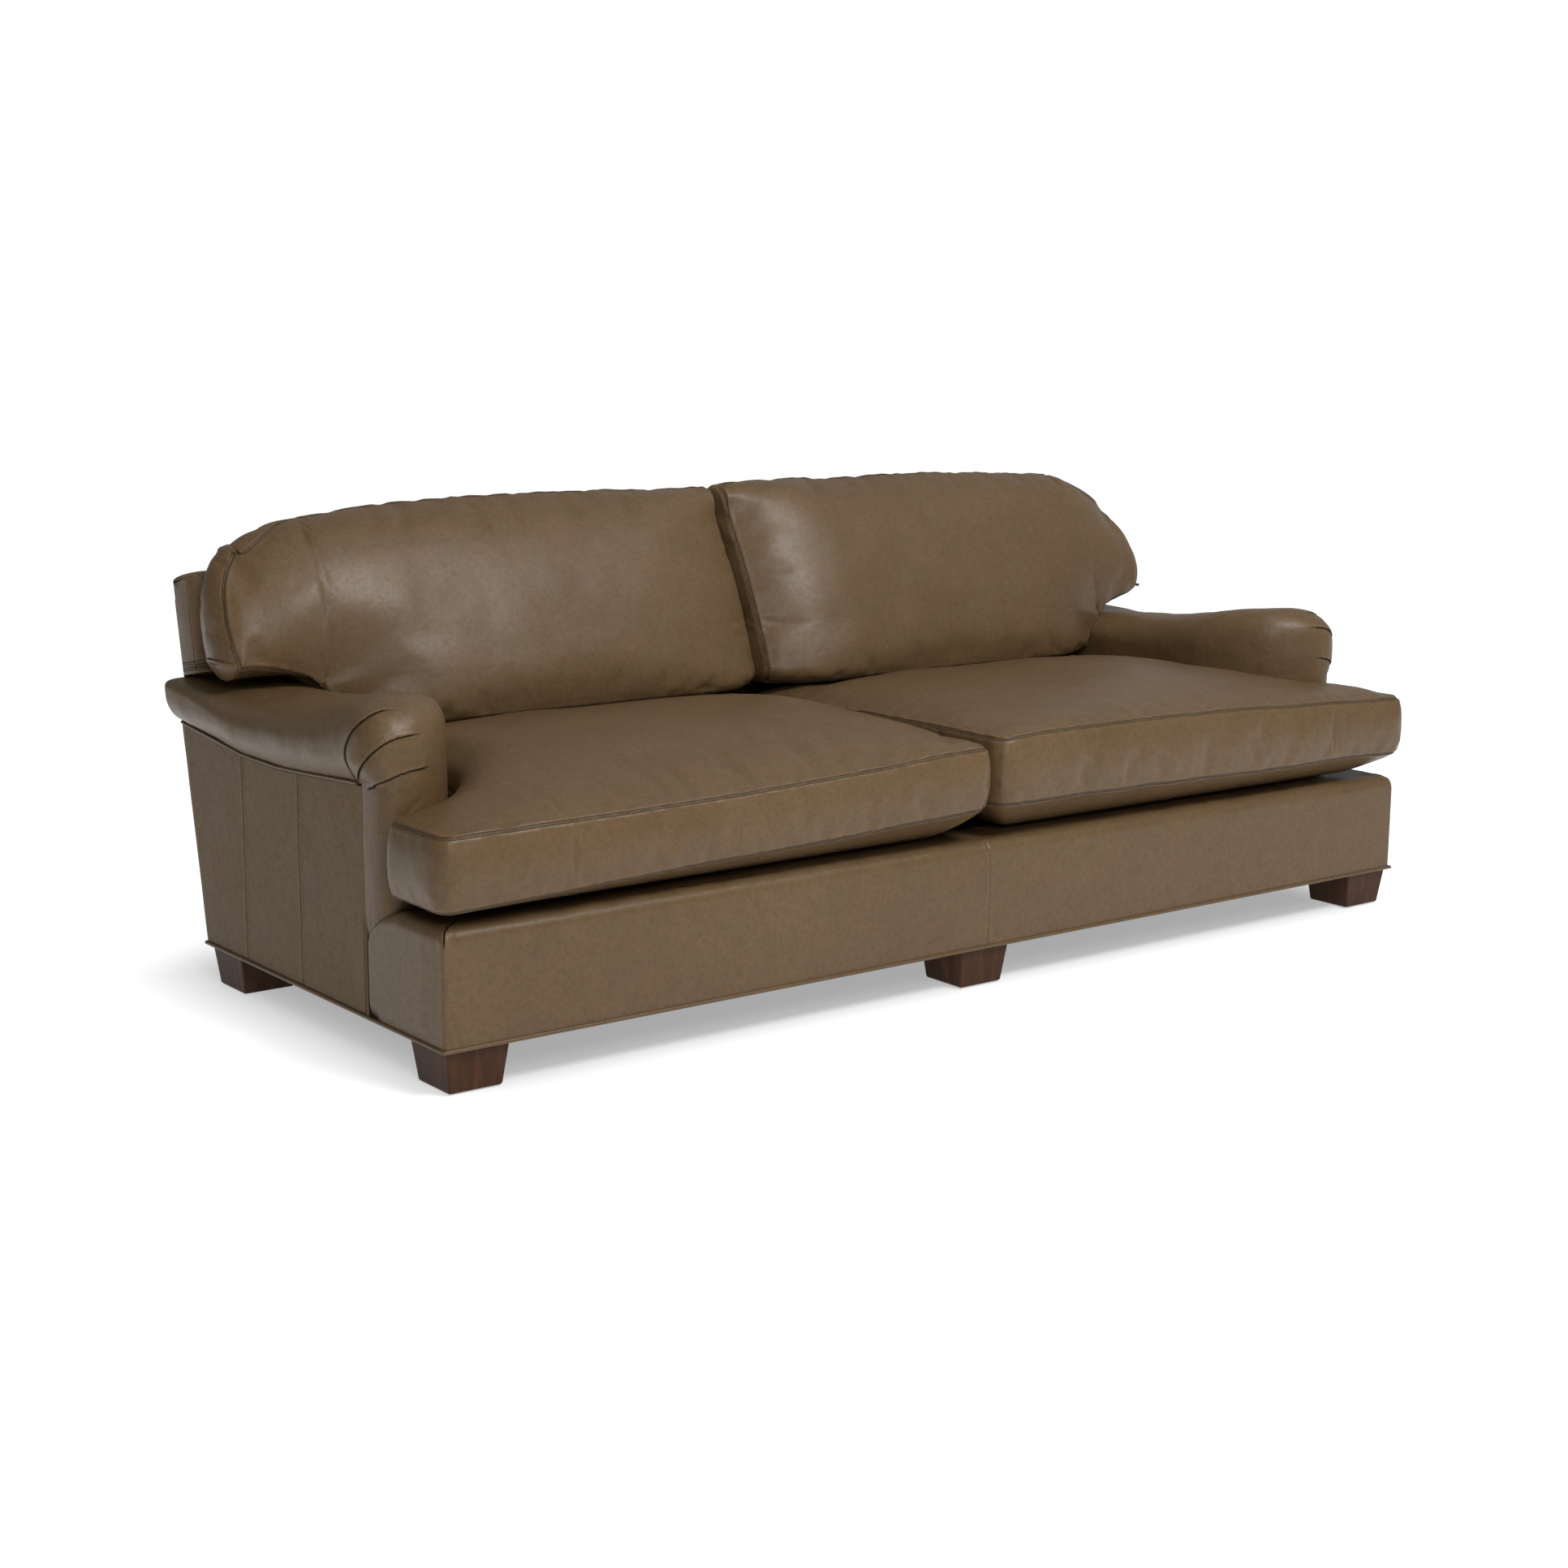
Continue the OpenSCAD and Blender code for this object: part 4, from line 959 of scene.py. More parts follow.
# ---------------------------------------------------------------- front border
def border_skin():
    rc = 0.008
    F = HW - rc
    arc = rc * math.pi / 2
    end_y = -0.2384
    S = F + arc + (end_y - (FRONT_Y + rc))
    r_top, r_end = 0.025, 0.0115

    def plan(s, d):
        """Point at unrolled distance s, d inside the face."""
        t, sg = np.abs(s), np.sign(s) + (s == 0)
        al = np.clip((t - F) / rc, 0, math.pi / 2)
        on_side = t > F + arc
        px = np.where(t <= F, t, F + rc * np.sin(al))
        py = np.where(on_side, FRONT_Y + rc + (t - F - arc), FRONT_Y + rc - rc * np.cos(al))
        nx, ny = np.where(t <= F, 0, np.sin(al)), np.where(t <= F, -1, -np.cos(al))
        x, y = px - nx * d, py - ny * d
        deep = d > rc
        lim = HW - np.maximum(d, rc)
        corner = (t > F) & (t <= F + arc) & deep
        x = np.where(corner, HW - d, np.where(deep & (t <= F), np.minimum(x, HW - d), x))
        y = np.where(corner, FRONT_Y + d, np.where(deep & on_side, np.maximum(y, FRONT_Y + d), y))
        return sg * x, y

    a_e, b_e = 0.100, 0.074
    s = lines((0, 0.012, 0.004), (0.012, F - 0.02, 0.0145), (F - 0.02, F, 0.005), (F, F + arc, 0.0035), (F + arc, F + arc + 0.02, 0.005), (F + arc + 0.02, S - a_e, 0.012), (S - a_e, S - r_end, 0.0095), 0.002, 0.007)
    s = np.concatenate([-s[::-1][:-1], s])
    z_lo, z_hi = 0.0800, 0.280 - r_top
    z = lines((z_lo, 0.09, 0.003), (0.09, 0.280 - b_e, 0.013), (0.280 - b_e, z_hi, 0.006))
    SS, ZZ = np.meshgrid(s, z, indexing="ij")
    # round the upper end of each side return: the inset outline is an ellipse there
    ax, bz_ = a_e - r_end, b_e - r_top
    u = np.clip((np.abs(SS) - (S - a_e)) / ax, 0, 1)
    v = np.clip((ZZ - (0.280 - b_e)) / bz_, 0, 1)
    SM = np.where(u > 0, np.sign(SS) * ((S - a_e) + ax * u * np.sqrt(1 - v**2 / 2)), SS)
    ZM = np.where((v > 0) & (u > 0), (0.280 - b_e) + bz_ * v * np.sqrt(1 - u**2 / 2), ZZ)
    X, Y = plan(SM, np.zeros_like(SM))
    skin = Skin()
    face = np.stack([X, Y, ZM], -1)
    skin.grid(face)
    # roll the edge inwards along the end, the rounded corner, the top, and down the other end
    left = [(0, j) for j in range(len(z) - 1)]
    top = [(i, len(z) - 1) for i in range(len(s))]
    right = [(len(s) - 1, j) for j in range(len(z) - 2, -1, -1)]
    edge = left + top + right
    es = np.array([SM[i, j] for i, j in edge])
    ez = np.array([ZM[i, j] for i, j in edge])
    tx, tz = np.gradient(es), np.gradient(ez)
    ln = np.hypot(tx, tz)
    ns, nz = -tz / ln, tx / ln
    ns[0], nz[0], ns[-1], nz[-1] = -1, 0, 1, 0
    flat_top = np.abs(es) < S - a_e
    ns, nz = np.where(flat_top, 0, ns), np.where(flat_top, 1, nz)
    k = np.clip((np.abs(es) - (S - a_e)) / ax, 0, 1)
    r = r_top + (r_end - r_top) * np.sin(k * math.pi / 2) ** 1.0
    rows = []
    for a in np.radians([0, 11, 22, 34, 46, 58, 70, 80, 90]):
        q, w = plan(es + ns * r * np.sin(a), r * (1 - np.cos(a)))
        rows.append(np.stack([q, w, ez + nz * r * np.sin(a)], -1))
    for extra in (0.006, 0.02, 0.045, 0.088):
        q, w = plan(es + ns * r, r + extra)
        rows.append(np.stack([q, w, ez + nz * r - 0.0006], -1))
    skin.grid(np.stack(rows, 1))
    return skin


border = border_skin().object("front_border", weld=2e-4)
subdivide(border, 1)
v, n = coords(border), normals(border)
crown = 0.0016 * np.sin(np.clip((v[:, 2] - 0.083) / 0.19, 0, 1) * math.pi) ** 0.8
wave = 0.0011 * noise(v, 0.19, 61) + 0.0005 * noise(v, 0.07, 63) + 0.0010 * noise(v * [1, 1, 3], 0.03, 66) * np.clip((v[:, 2] - 0.262) / 0.02, 0, 1)
hold = np.minimum(1, (v[:, 2] - 0.0826) / 0.03).clip(0) * np.clip((1.158 - np.abs(v[:, 0])) / 0.03, 0.25, 1)
set_coords(border, v + n * ((crown + wave) * hold)[:, None])
seam_valley(border, [[(0, FRONT_Y, 0.080), (0, FRONT_Y, 0.255), (0, FRONT_Y + 0.0073, 0.2727), (0, FRONT_Y + 0.025, 0.28), (0, -0.40, 0.28)]], depth=0.0012, width=0.0021, lip=0.0004, mark=0.665)
# the padded ends stand a little proud of the arms; painted shade marks the line where they dive in behind
v = coords(border)
ax_ = np.abs(v[:, 0])
proud = 0.0030 * np.clip((v[:, 1] + 0.474) / 0.05, 0, 1) * np.clip((v[:, 2] - 0.086) / 0.02, 0, 1) * (ax_ > 1.03)
v[:, 0] += np.sign(v[:, 0]) * proud
set_coords(border, v)
col = P_PLAN[P_PLAN[:, 0] > 1.10]
col = col[np.argsort(col[:, 1])]
col_x = np.interp(v[:, 1], col[:, 1], col[:, 0])
gap_ = np.abs(v[:, 0]) - col_x
# painted shade in the gap next to the arm's column, and on the end's turn-in
dark = (1 - np.clip((gap_ - 0.0004) / 0.0024, 0, 1)) * (v[:, 1] > -0.345) * (ax_ > 1.10)
dark = np.maximum(dark, np.clip((v[:, 1] + 0.2455) / 0.003, 0, 1) * (ax_ > 1.10))
set_attribute(border, "dark", dark)
# the top front corners fold; the leather look paints shade in the crease and a highlight on its lap
for k, sg in ((1, -1), (2, 1)):
    c = bend([(sg * 1.1620, -0.4880, 0.2465), (sg * 1.1605, -0.4865, 0.257), (sg * 1.1555, -0.4815, 0.2690), (sg * 1.142, -0.468, 0.2795), (sg * 1.110, -0.438, 0.2815)], 0.0012)
    v, n = coords(border), normals(border)
    d, i = distance_to(v, c)
    f = np.interp(i, [0, 8, len(c)], [0.0, 1.0, 1.0]) * 0.7
    set_coords(border, v + n * (f * (-0.0022 * np.exp(-((d / 0.0036) ** 2)) + 0.0014 * np.exp(-(((d - 0.009) / 0.006) ** 2))))[:, None])
    mark_fold(border, k, surface_lookup(border)(c)[0], ([0, 0.15, 1], [0.0, 1.0, 1.0]), sg)
finish_piece(border, "frame", replaces=("front_border_cover", "front_edge_roll"))


# ---------------------------------------------------------------- back frame
def lean(P):
    """From the leaning frame (x, out of the rear face, up along it) to the row frame."""
    P = np.asarray(P, float)
    c, s = math.cos(RAKE), math.sin(RAKE)
    return np.stack([P[..., 0], BACK_Y + P[..., 1] * c + P[..., 2] * s, BASE_Z - P[..., 1] * s + P[..., 2] * c], -1)


def inside_back_skin():
    """Padded back: a rounded box above the arms, and the flat face that runs down between them."""
    skin = Skin()
    W, top, low = 1.148, 0.686, 0.4985
    # section of the upper part: up the front, over the rounded top, down the rear to the outside back's upper edge
    sec = [(-0.088, low), (-0.0895, low + 0.008)]
    sec += [(-0.09, v) for v in np.linspace(low + 0.02, top - 0.032 - 0.008, 11)]
    sec += [(-0.058 - 0.032 * math.cos(a), top - 0.032 + 0.032 * math.sin(a)) for a in np.radians(np.linspace(0, 90, 9))]
    sec += [(y, top) for y in np.linspace(-0.05, -0.026, 3)]
    sec += [(-0.022 + 0.022 * math.sin(a), top - 0.022 + 0.022 * math.cos(a)) for a in np.radians(np.linspace(0, 90, 8))]
    sec += [(0.0, v) for v in np.linspace(top - 0.030, 0.6400, 3)] + [(-0.0035, 0.6396)]
    sec += [(-0.0035, v) for v in np.linspace(0.622, low + 0.02, 7)] + [(-0.0035, low + 0.008), (-0.0045, low)]
    sec = np.array(sec)
    mid = np.array([-0.045, 0.60])
    r = 0.036
    x = lines((0, W - r, 0.016))
    x = np.concatenate([-x[::-1][:-1], x])
    rows = [np.stack([np.full(len(sec), t), sec[:, 0], sec[:, 1]], -1) for t in x]
    ends = []
    for a in np.radians([10, 20, 30, 40, 50, 60, 70, 80, 90]):
        inset = 0.032 * (1 - math.cos(a))
        drop = 0.013 * (1 - math.cos(a))
        c = sec.copy()
        # pull the outline in by inset, except at its open lower ends
        c[:, 0] = np.clip(sec[:, 0], -0.09 + inset, -np.where(sec[:, 1] > 0.6399, 0.5 * drop, 0.0035))
        c[:, 1] = np.minimum(sec[:, 1], top - drop)
        d = sec - mid
        ends.append((W - r + r * math.sin(a), c))
    first = [np.stack([np.full(len(sec), -t), c[:, 0], c[:, 1]], -1) for t, c in ends][::-1]
    last = [np.stack([np.full(len(sec), t), c[:, 0], c[:, 1]], -1) for t, c in ends]
    rows = first + rows + last
    skin.grid(lean(np.stack(rows, 0)))
    for sg in (-1, 1):
        c = ends[-1][1]
        crest = int(np.argmax(c[:, 1]))
        fore, aft = c[: crest + 1], c[crest:][::-1]
        h = np.unique(np.round(np.concatenate([fore[:, 1], np.linspace(low, low + 0.03, 13)]), 5))
        y_fore, y_aft = np.interp(h, fore[:, 1], fore[:, 0]), np.interp(h, aft[:, 1], aft[:, 0])
        span = np.linspace(0, 1, 9)[None, :]
        Yc = y_fore[:, None] * (1 - span) + y_aft[:, None] * span
        Vc = np.repeat(h[:, None], 9, 1)
        Xc = sg * (W + 0.0012 * np.sin(span * np.pi) * np.clip((top - Vc) / 0.05, 0, 1))
        skin.grid(lean(np.stack([Xc, Yc, Vc], -1)), flip=sg < 0)
    # the face between the arms
    xs = lines((0, 0.943, 0.02))
    xs = np.concatenate([-xs[::-1][:-1], xs])
    vs = np.linspace(0.170, low + 0.01, 18)
    XX, VV = np.meshgrid(xs, vs, indexing="ij")
    edge = np.clip((0.943 - np.abs(XX)) / 0.02, 0, 1)
    YY = -0.0895 + 0.016 * (1 - np.sqrt(1 - (1 - edge) ** 2))
    skin.grid(lean(np.stack([XX, YY, VV], -1)))
    for sg in (-1, 1):
        q = [lean(np.stack([np.full(len(vs), sg * 0.943), np.full(len(vs), y), vs], -1)) for y in np.linspace(-0.0735, -0.004, 5)]
        skin.grid(np.stack(q, 0), flip=sg < 0)
    return skin


inside = inside_back_skin().object("inside_back", weld=2e-4)
subdivide(inside, 1)
v, n = coords(inside), normals(inside)
set_coords(inside, v + n * (0.0012 * fbm(v, 0.12, 71, 2) + 0.0004)[:, None])
v, n = coords(inside), normals(inside)
move, dark = np.zeros(len(v)), np.zeros(len(v))
c_, s_ = math.cos(RAKE), math.sin(RAKE)
for sg in (-1, 1):
    # a small tuck at the top rear corner of each wing
    for pts, a in (
        ([(sg * 1.149, -0.012, 0.664), (sg * 1.146, -0.020, 0.676), (sg * 1.136, -0.030, 0.684), (sg * 1.112, -0.040, 0.687)], 0.7),
    ):
        c = bend(lean(pts), 0.0012)
        d, k = distance_to(v, c)
        f = a * np.interp(k, [0, 10, len(c) * 0.7, len(c)], [0.2, 1.0, 0.8, 0.0])
        move += -0.0038 * f * np.exp(-((d / 0.0032) ** 2)) + 0.0016 * f * np.exp(-(((d - 0.009) / 0.006) ** 2))
        dark = np.maximum(dark, f * np.exp(-((d / 0.0022) ** 2)))
set_coords(inside, v + n * move[:, None])
v = coords(inside)
v_up = (v[:, 2] - BASE_Z) * c_ + (v[:, 1] - BACK_Y) * s_
wing = np.abs(v[:, 0]) > 0.96
# two sewn lines round the bottom of each wing, drawn only in the colour: the leather look paints each as a shaded
# groove with stitch rows beside it
for level in (0.5085, 0.5185):
    mark_seam(inside, np.where(wing, np.abs(v_up - level), 1.0))
# the wing tucks: the leather look paints shade in the crease and a highlight on its lap
for k, sg in ((1, -1), (2, 1)):
    c = bend(lean([(sg * 1.149, -0.012, 0.664), (sg * 1.146, -0.020, 0.676), (sg * 1.136, -0.030, 0.684), (sg * 1.112, -0.040, 0.687)]), 0.0012)
    mark_fold(inside, k, surface_lookup(inside)(c)[0], ([0, 0.2, 0.8, 1], [0.2, 1.0, 1.0, 0.0]), sg)
finish_piece(inside, "frame", replaces=("inside_back_cover", "back_pad"))


def outside_back_skin():
    near = [s * o for o in (0.0, 0.0022, 0.0045, 0.0075, 0.012) for s in (1, -1)]
    x = lines((0, 1.14, 0.02), *[0.387 + o for o in near])
    x = np.concatenate([-x[::-1][:-1], x])
    x = np.concatenate([[-1.1445, -1.1425], x, [1.1425, 1.1445]])
    vv = lines((0.0010, 0.6395, 0.016), 0.006, 0.637)
    X, V = np.meshgrid(x, vv, indexing="ij")
    half = np.interp(V, [0, 0.392, 0.404, 0.64], [1.1595, 1.1595, 1.1475, 1.1475])
    k = np.clip((np.abs(X) - 0.9) / (1.1445 - 0.9), 0, 1)
    X = np.sign(X) * (np.abs(X) * (1 - k) + k * (0.9 + (half - 0.9) * k**0.0 * np.clip((np.abs(X) - 0.9) / (1.1445 - 0.9), 0, 1)))
    edge = np.minimum(np.minimum(half - np.abs(X), V - 0.0037), 0.6395 - V).clip(0)
    Y = -0.0006 - 0.0022 * np.exp(-((edge / 0.004) ** 2)) + 0.0014 * (1 - np.exp(-edge / 0.08))
    P = lean(np.stack([X, Y, V], -1))
    skin = Skin()
    skin.grid(P, flip=True)
    return skin


outside = outside_back_skin().object("outside_back")
subdivide(outside, 1)
v, n = coords(outside), normals(outside)
v_up = (v[:, 2] - BASE_Z) * math.cos(RAKE) + (v[:, 1] - BACK_Y) * math.sin(RAKE)
edge = np.minimum(np.minimum(0.6395 - v_up, v_up), 1.147 - np.abs(v[:, 0]))
soft = (0.0010 * noise(v, 0.2, 81) + 0.0005 * noise(v, 0.07, 83)) * np.clip(edge / 0.06, 0, 1)
set_coords(outside, v + n * soft[:, None])
seam_valley(outside, [[tuple(lean([x, 0.0, 0.004])), tuple(lean([x, 0.0, 0.639]))] for x in (-0.387, 0.387)], depth=0.0010, width=0.0021, lip=0.0004, mark=0.665)
thicken(outside, 0.0018)
finish_piece(outside, "frame", replaces=("outside_back_cover",))


# ---------------------------------------------------------------- cushions
class LGrid:
    """Grid over an L: the rectangle without the part where a > ac and b > bc."""

    def __init__(self, a, b, ac, bc):
        self.a, self.b = a, b
        na, nb = len(a), len(b)
        ia, jb = int(np.argmin(abs(a - ac))), int(np.argmin(abs(b - bc)))
        self.ia, self.jb = ia, jb
        idx = -np.ones((na, nb), int)
        keep = [(i, j) for i in range(na) for j in range(nb) if i <= ia or j <= jb]
        for k, (i, j) in enumerate(keep):
            idx[i, j] = k
        self.idx = idx
        self.uv = np.array([(a[i], b[j]) for i, j in keep])
        self.cells = [(idx[i, j], idx[i + 1, j], idx[i + 1, j + 1], idx[i, j + 1]) for i in range(na - 1) for j in range(nb - 1) if i < ia or j < jb]
        loop, part = [], []

        def run(cells, name):
            for c in cells:
                loop.append(idx[c])
                part.append(name)

        run([(i, 0) for i in range(0, na - 1)], 0)                     # front or top edge
        run([(na - 1, j) for j in range(0, jb)], 1)                    # outer edge of the ear
        run([(i, jb) for i in range(na - 1, ia, -1)], 2)               # rear or under edge of the ear
        run([(ia, j) for j in range(jb, nb - 1)], 3)                   # side of the main part
        run([(i, nb - 1) for i in range(ia, 0, -1)], 4)                # rear or lower edge
        run([(0, j) for j in range(nb - 1, 0, -1)], 5)                 # inner edge
        self.loop, self.part = np.array(loop), np.array(part)

    def round_corner(self, uv, a0, b0, ra, rb):
        """Elliptical rounding of a convex corner at (a0, b0); ra and rb are signed towards the inside."""
        u = np.clip((uv[:, 0] - (a0 + ra)) / -ra, 0, 1)
        v = np.clip((uv[:, 1] - (b0 + rb)) / -rb, 0, 1)
        m = (u > 0) & (v > 0)
        out = uv.copy()
        out[m, 0] = (a0 + ra) - ra * u[m] * np.sqrt(1 - v[m] ** 2 / 2)
        out[m, 1] = (b0 + rb) - rb * v[m] * np.sqrt(1 - u[m] ** 2 / 2)
        return out

    def outward(self, xy):
        """Unit outward normals of the loop in the plane."""
        p = xy[self.loop]
        d = np.roll(p, -1, 0) - np.roll(p, 1, 0)
        d /= np.maximum(np.linalg.norm(d, axis=1), 1e-9)[:, None]
        return np.stack([d[:, 1], -d[:, 0]], 1)

    def relax(self, f, rounds):
        """Evens out a value over the grid; the outline keeps its own."""
        q = np.array(self.cells)
        pairs = np.concatenate([q[:, [0, 1]], q[:, [1, 2]], q[:, [2, 3]], q[:, [3, 0]]])
        pairs = np.unique(np.sort(pairs, 1), axis=0)
        count = np.bincount(pairs.ravel(), minlength=len(f)).astype(float)
        keep = f[self.loop].copy()
        f = f.copy()
        for _ in range(rounds):
            near = np.bincount(pairs[:, 0], f[pairs[:, 1]], len(f)) + np.bincount(pairs[:, 1], f[pairs[:, 0]], len(f))
            f = 0.35 * f + 0.65 * near / count
            f[self.loop] = keep
        return f

    def soften(self, f, xy, sigma, near, far):
        """Evens out a value over the face in real distances; it keeps its own close to the outline."""
        area = np.zeros(len(f))
        for c in self.cells:
            p = xy[list(c)]
            s = 0.5 * abs(np.cross(p[2] - p[0], p[3] - p[1]))
            area[list(c)] += s / 4
        out = np.empty(len(f))
        for k in range(0, len(f), 500):
            w = np.exp(-((xy[k : k + 500, None] - xy[None]) ** 2).sum(2) / (2 * sigma**2)) * area
            out[k : k + 500] = (w @ f) / w.sum(1)
        m = np.clip((self.edge_distance(xy) - near) / (far - near), 0, 1)
        m = m * m * (3 - 2 * m)
        return f * (1 - m) + out * m

    def edge_distance(self, xy, parts=None):
        """Distance from each grid point to the outline, or to some parts of it."""
        p, q = xy[self.loop], xy[np.roll(self.loop, -1)]
        if parts is not None:
            m = np.isin(self.part, parts)
            p, q = p[m], q[m]
        best = np.full(len(xy), 9.0)
        for s, e in zip(p, q):
            d = e - s
            t = np.clip(((xy - s) @ d) / max(d @ d, 1e-12), 0, 1)
            best = np.minimum(best, np.linalg.norm(xy - s - t[:, None] * d, axis=1))
        return best


def morph(xy, src, dst, power=2.6):
    """Moves points so that src goes to dst, spreading the move smoothly."""
    out = xy.copy()
    D = dst - src
    for k in range(0, len(xy), 2000):
        w = 1.0 / (np.linalg.norm(xy[k : k + 2000, None] - src[None], axis=2) + 1e-4) ** power
        out[k : k + 2000] += (w @ D) / w.sum(1)[:, None]
    return out


def boxed(name, G, top, bottom, rows, flip):
    """One closed form: top panel, bottom panel, and boxing rows between them. Returns the object; its points are the
    top panel's, then the bottom panel's, then the rows'.
    """
    n, K = len(top), len(G.loop)
    v = np.concatenate([top, bottom] + list(rows))
    f = [tuple(c) for c in G.cells] + [tuple(i + n for i in c[::-1]) for c in G.cells]
    chain = [G.loop] + [2 * n + r * K + np.arange(K) for r in range(len(rows))] + [G.loop + n]
    for A, B in zip(chain[:-1], chain[1:]):
        for k in range(K):
            k2 = (k + 1) % K
            f.append((A[k], B[k], B[k2], A[k2]))
    if flip:
        f = [q[::-1] for q in f]
    return make(name, v, f)


def inflate(ob, pins, pressure, cap, frames=16, bending=1.2, shrink=-0.012, stiff=12.0, quality=5):
    """Cloth simulation under inner pressure; the seams in pins stay put and nothing moves farther than cap."""
    start = coords(ob)
    g = ob.vertex_groups.new(name="pin")
    for w in sorted(set(np.round(pins, 2))):
        if w > 0:
            g.add([int(i) for i in np.nonzero(np.round(pins, 2) == w)[0]], float(w), "REPLACE")
    m = ob.modifiers.new("Cloth", "CLOTH")
    s = m.settings
    s.quality = quality
    s.mass = 0.35
    s.tension_stiffness = s.compression_stiffness = stiff
    s.shear_stiffness = 4.0
    s.bending_stiffness = bending
    s.tension_damping = s.compression_damping = 8.0
    s.air_damping = 3.0
    s.use_pressure = True
    s.uniform_pressure_force = pressure
    s.effector_weights.gravity = 0.0
    s.vertex_group_mass = "pin"
    s.pin_stiffness = 1.0
    s.shrink_min = shrink
    m.collision_settings.use_collision = False
    m.collision_settings.use_self_collision = False
    m.point_cache.frame_start = 1
    m.point_cache.frame_end = frames
    scene = bpy.context.scene
    for f in range(1, frames + 1):
        scene.frame_set(f)
    dg = bpy.context.evaluated_depsgraph_get()
    e = ob.evaluated_get(dg)
    now = np.empty(len(start) * 3)
    e.data.vertices.foreach_get("co", now)
    now = now.reshape(-1, 3)
    ob.modifiers.clear()
    ob.vertex_groups.clear()
    scene.frame_set(1)
    d = now - start
    ln = np.linalg.norm(d, axis=1)
    soft = cap * np.tanh(ln / cap)
    set_coords(ob, start + d * (soft / np.maximum(ln, 1e-9))[:, None])
    return start


def grow_rows(G, top, bottom, ts, bulge, prof, normal3):
    """Boxing rows between two panels, standing out along the outline's normal."""
    A, B = top[G.loop], bottom[G.loop]
    out = []
    for t in ts[1:-1]:
        P = A * (1 - t) + B * t
        out.append(P + normal3 * (bulge * prof(t))[:, None])
    return out


def arm_inner_x(y):
    """Inner face of the arm, in plan."""
    t = np.clip((-0.080 - np.asarray(y, float)) / 0.2256, 0, 1)
    return 0.950 + 0.167 * (1 - (1 - t**1.75) ** (1 / 1.75))


def arm_clearance(gap, gap_front):
    """The line that a seat cushion keeps to beside and in front of the arm."""
    y = np.concatenate([np.linspace(-0.02, -0.28, 120), np.linspace(-0.28, -0.3055, 120)[1:]])
    p = np.concatenate([np.stack([arm_inner_x(y), y], 1), [(1.135, -0.3056), (1.20, -0.3056)]])
    p = resample(np.concatenate([p, np.zeros((len(p), 1))], 1), 0.002)[:, :2]
    for _ in range(30):
        p[1:-1] = 0.5 * p[1:-1] + 0.25 * (p[2:] + p[:-2])
    d = np.gradient(p, axis=0)
    d /= np.linalg.norm(d, axis=1)[:, None]
    f = np.clip((p[:, 0] - 0.95) / 0.17, 0, 1)
    return p + np.stack([d[:, 1], -d[:, 0]], 1) * (gap + (gap_front - gap) * f)[:, None]


def keep_off(q, line):
    """Moves points that crossed a line in plan back onto it. Inside is to the line's right-hand side."""
    d = np.gradient(line, axis=0)
    d /= np.linalg.norm(d, axis=1)[:, None]
    near = np.nonzero((q[:, 0] > 0.90) & (q[:, 1] > -0.36))[0]
    flat = np.concatenate([q[near, :2], np.zeros((len(near), 1))], 1)
    _, k = distance_to(flat, np.concatenate([line, np.zeros((len(line), 1))], 1))
    off = flat[:, :2] - line[k]
    over = d[k, 0] * off[:, 1] - d[k, 1] * off[:, 0]
    bad = over > 0
    q[near[bad], :2] -= np.stack([-d[k, 1], d[k, 0]], 1)[bad] * over[bad][:, None]
    return q


# Seat cushions: a is x from the middle of the sofa, b is y from front to rear
SEAT_ZS = {
    1: smooth_line([(0.0, 0.470), (0.05, 0.474), (0.14, 0.477), (0.36, 0.477), (0.58, 0.473), (0.82, 0.464), (1.03, 0.455), (1.16, 0.449)]),
    -1: smooth_line([(0.0, 0.458), (0.05, 0.459), (0.30, 0.448), (0.645, 0.437), (0.9, 0.433), (1.16, 0.430)]),
}
SEAT_ZB = {
    1: smooth_line([(0.0, 0.348), (0.36, 0.345), (0.83, 0.338), (1.16, 0.334)]),
    -1: smooth_line([(0.0, 0.345), (0.5, 0.330), (0.9, 0.317), (1.17, 0.307)]),
}
SEAT_Y = smooth_line([(-0.506, 0.0), (-0.495, 0.12), (-0.470, 0.29), (-0.440, 0.44), (-0.400, 0.60), (-0.300, 0.86), (-0.200, 0.98), (-0.100, 1.0), (0.0, 0.93), (0.08, 0.80), (0.136, 0.66), (0.25, 0.52), (0.30, 0.30), (0.320, 0.0)])
SEAT_X = smooth_line([(0.0, 0.474), (0.03, 0.484), (0.08, 0.493), (0.2, 0.503), (0.4, 0.507), (0.6, 0.507), (0.8, 0.500), (0.95, 0.489), (1.05, 0.474), (1.102, 0.463), (1.156, 0.446)])
ZROW = np.array([0.450, 0.445, 0.436, 0.425, 0.411, 0.397, 0.3855, 0.3825, 0.374, 0.3655, 0.3625, 0.352, 0.342, 0.335, 0.330])


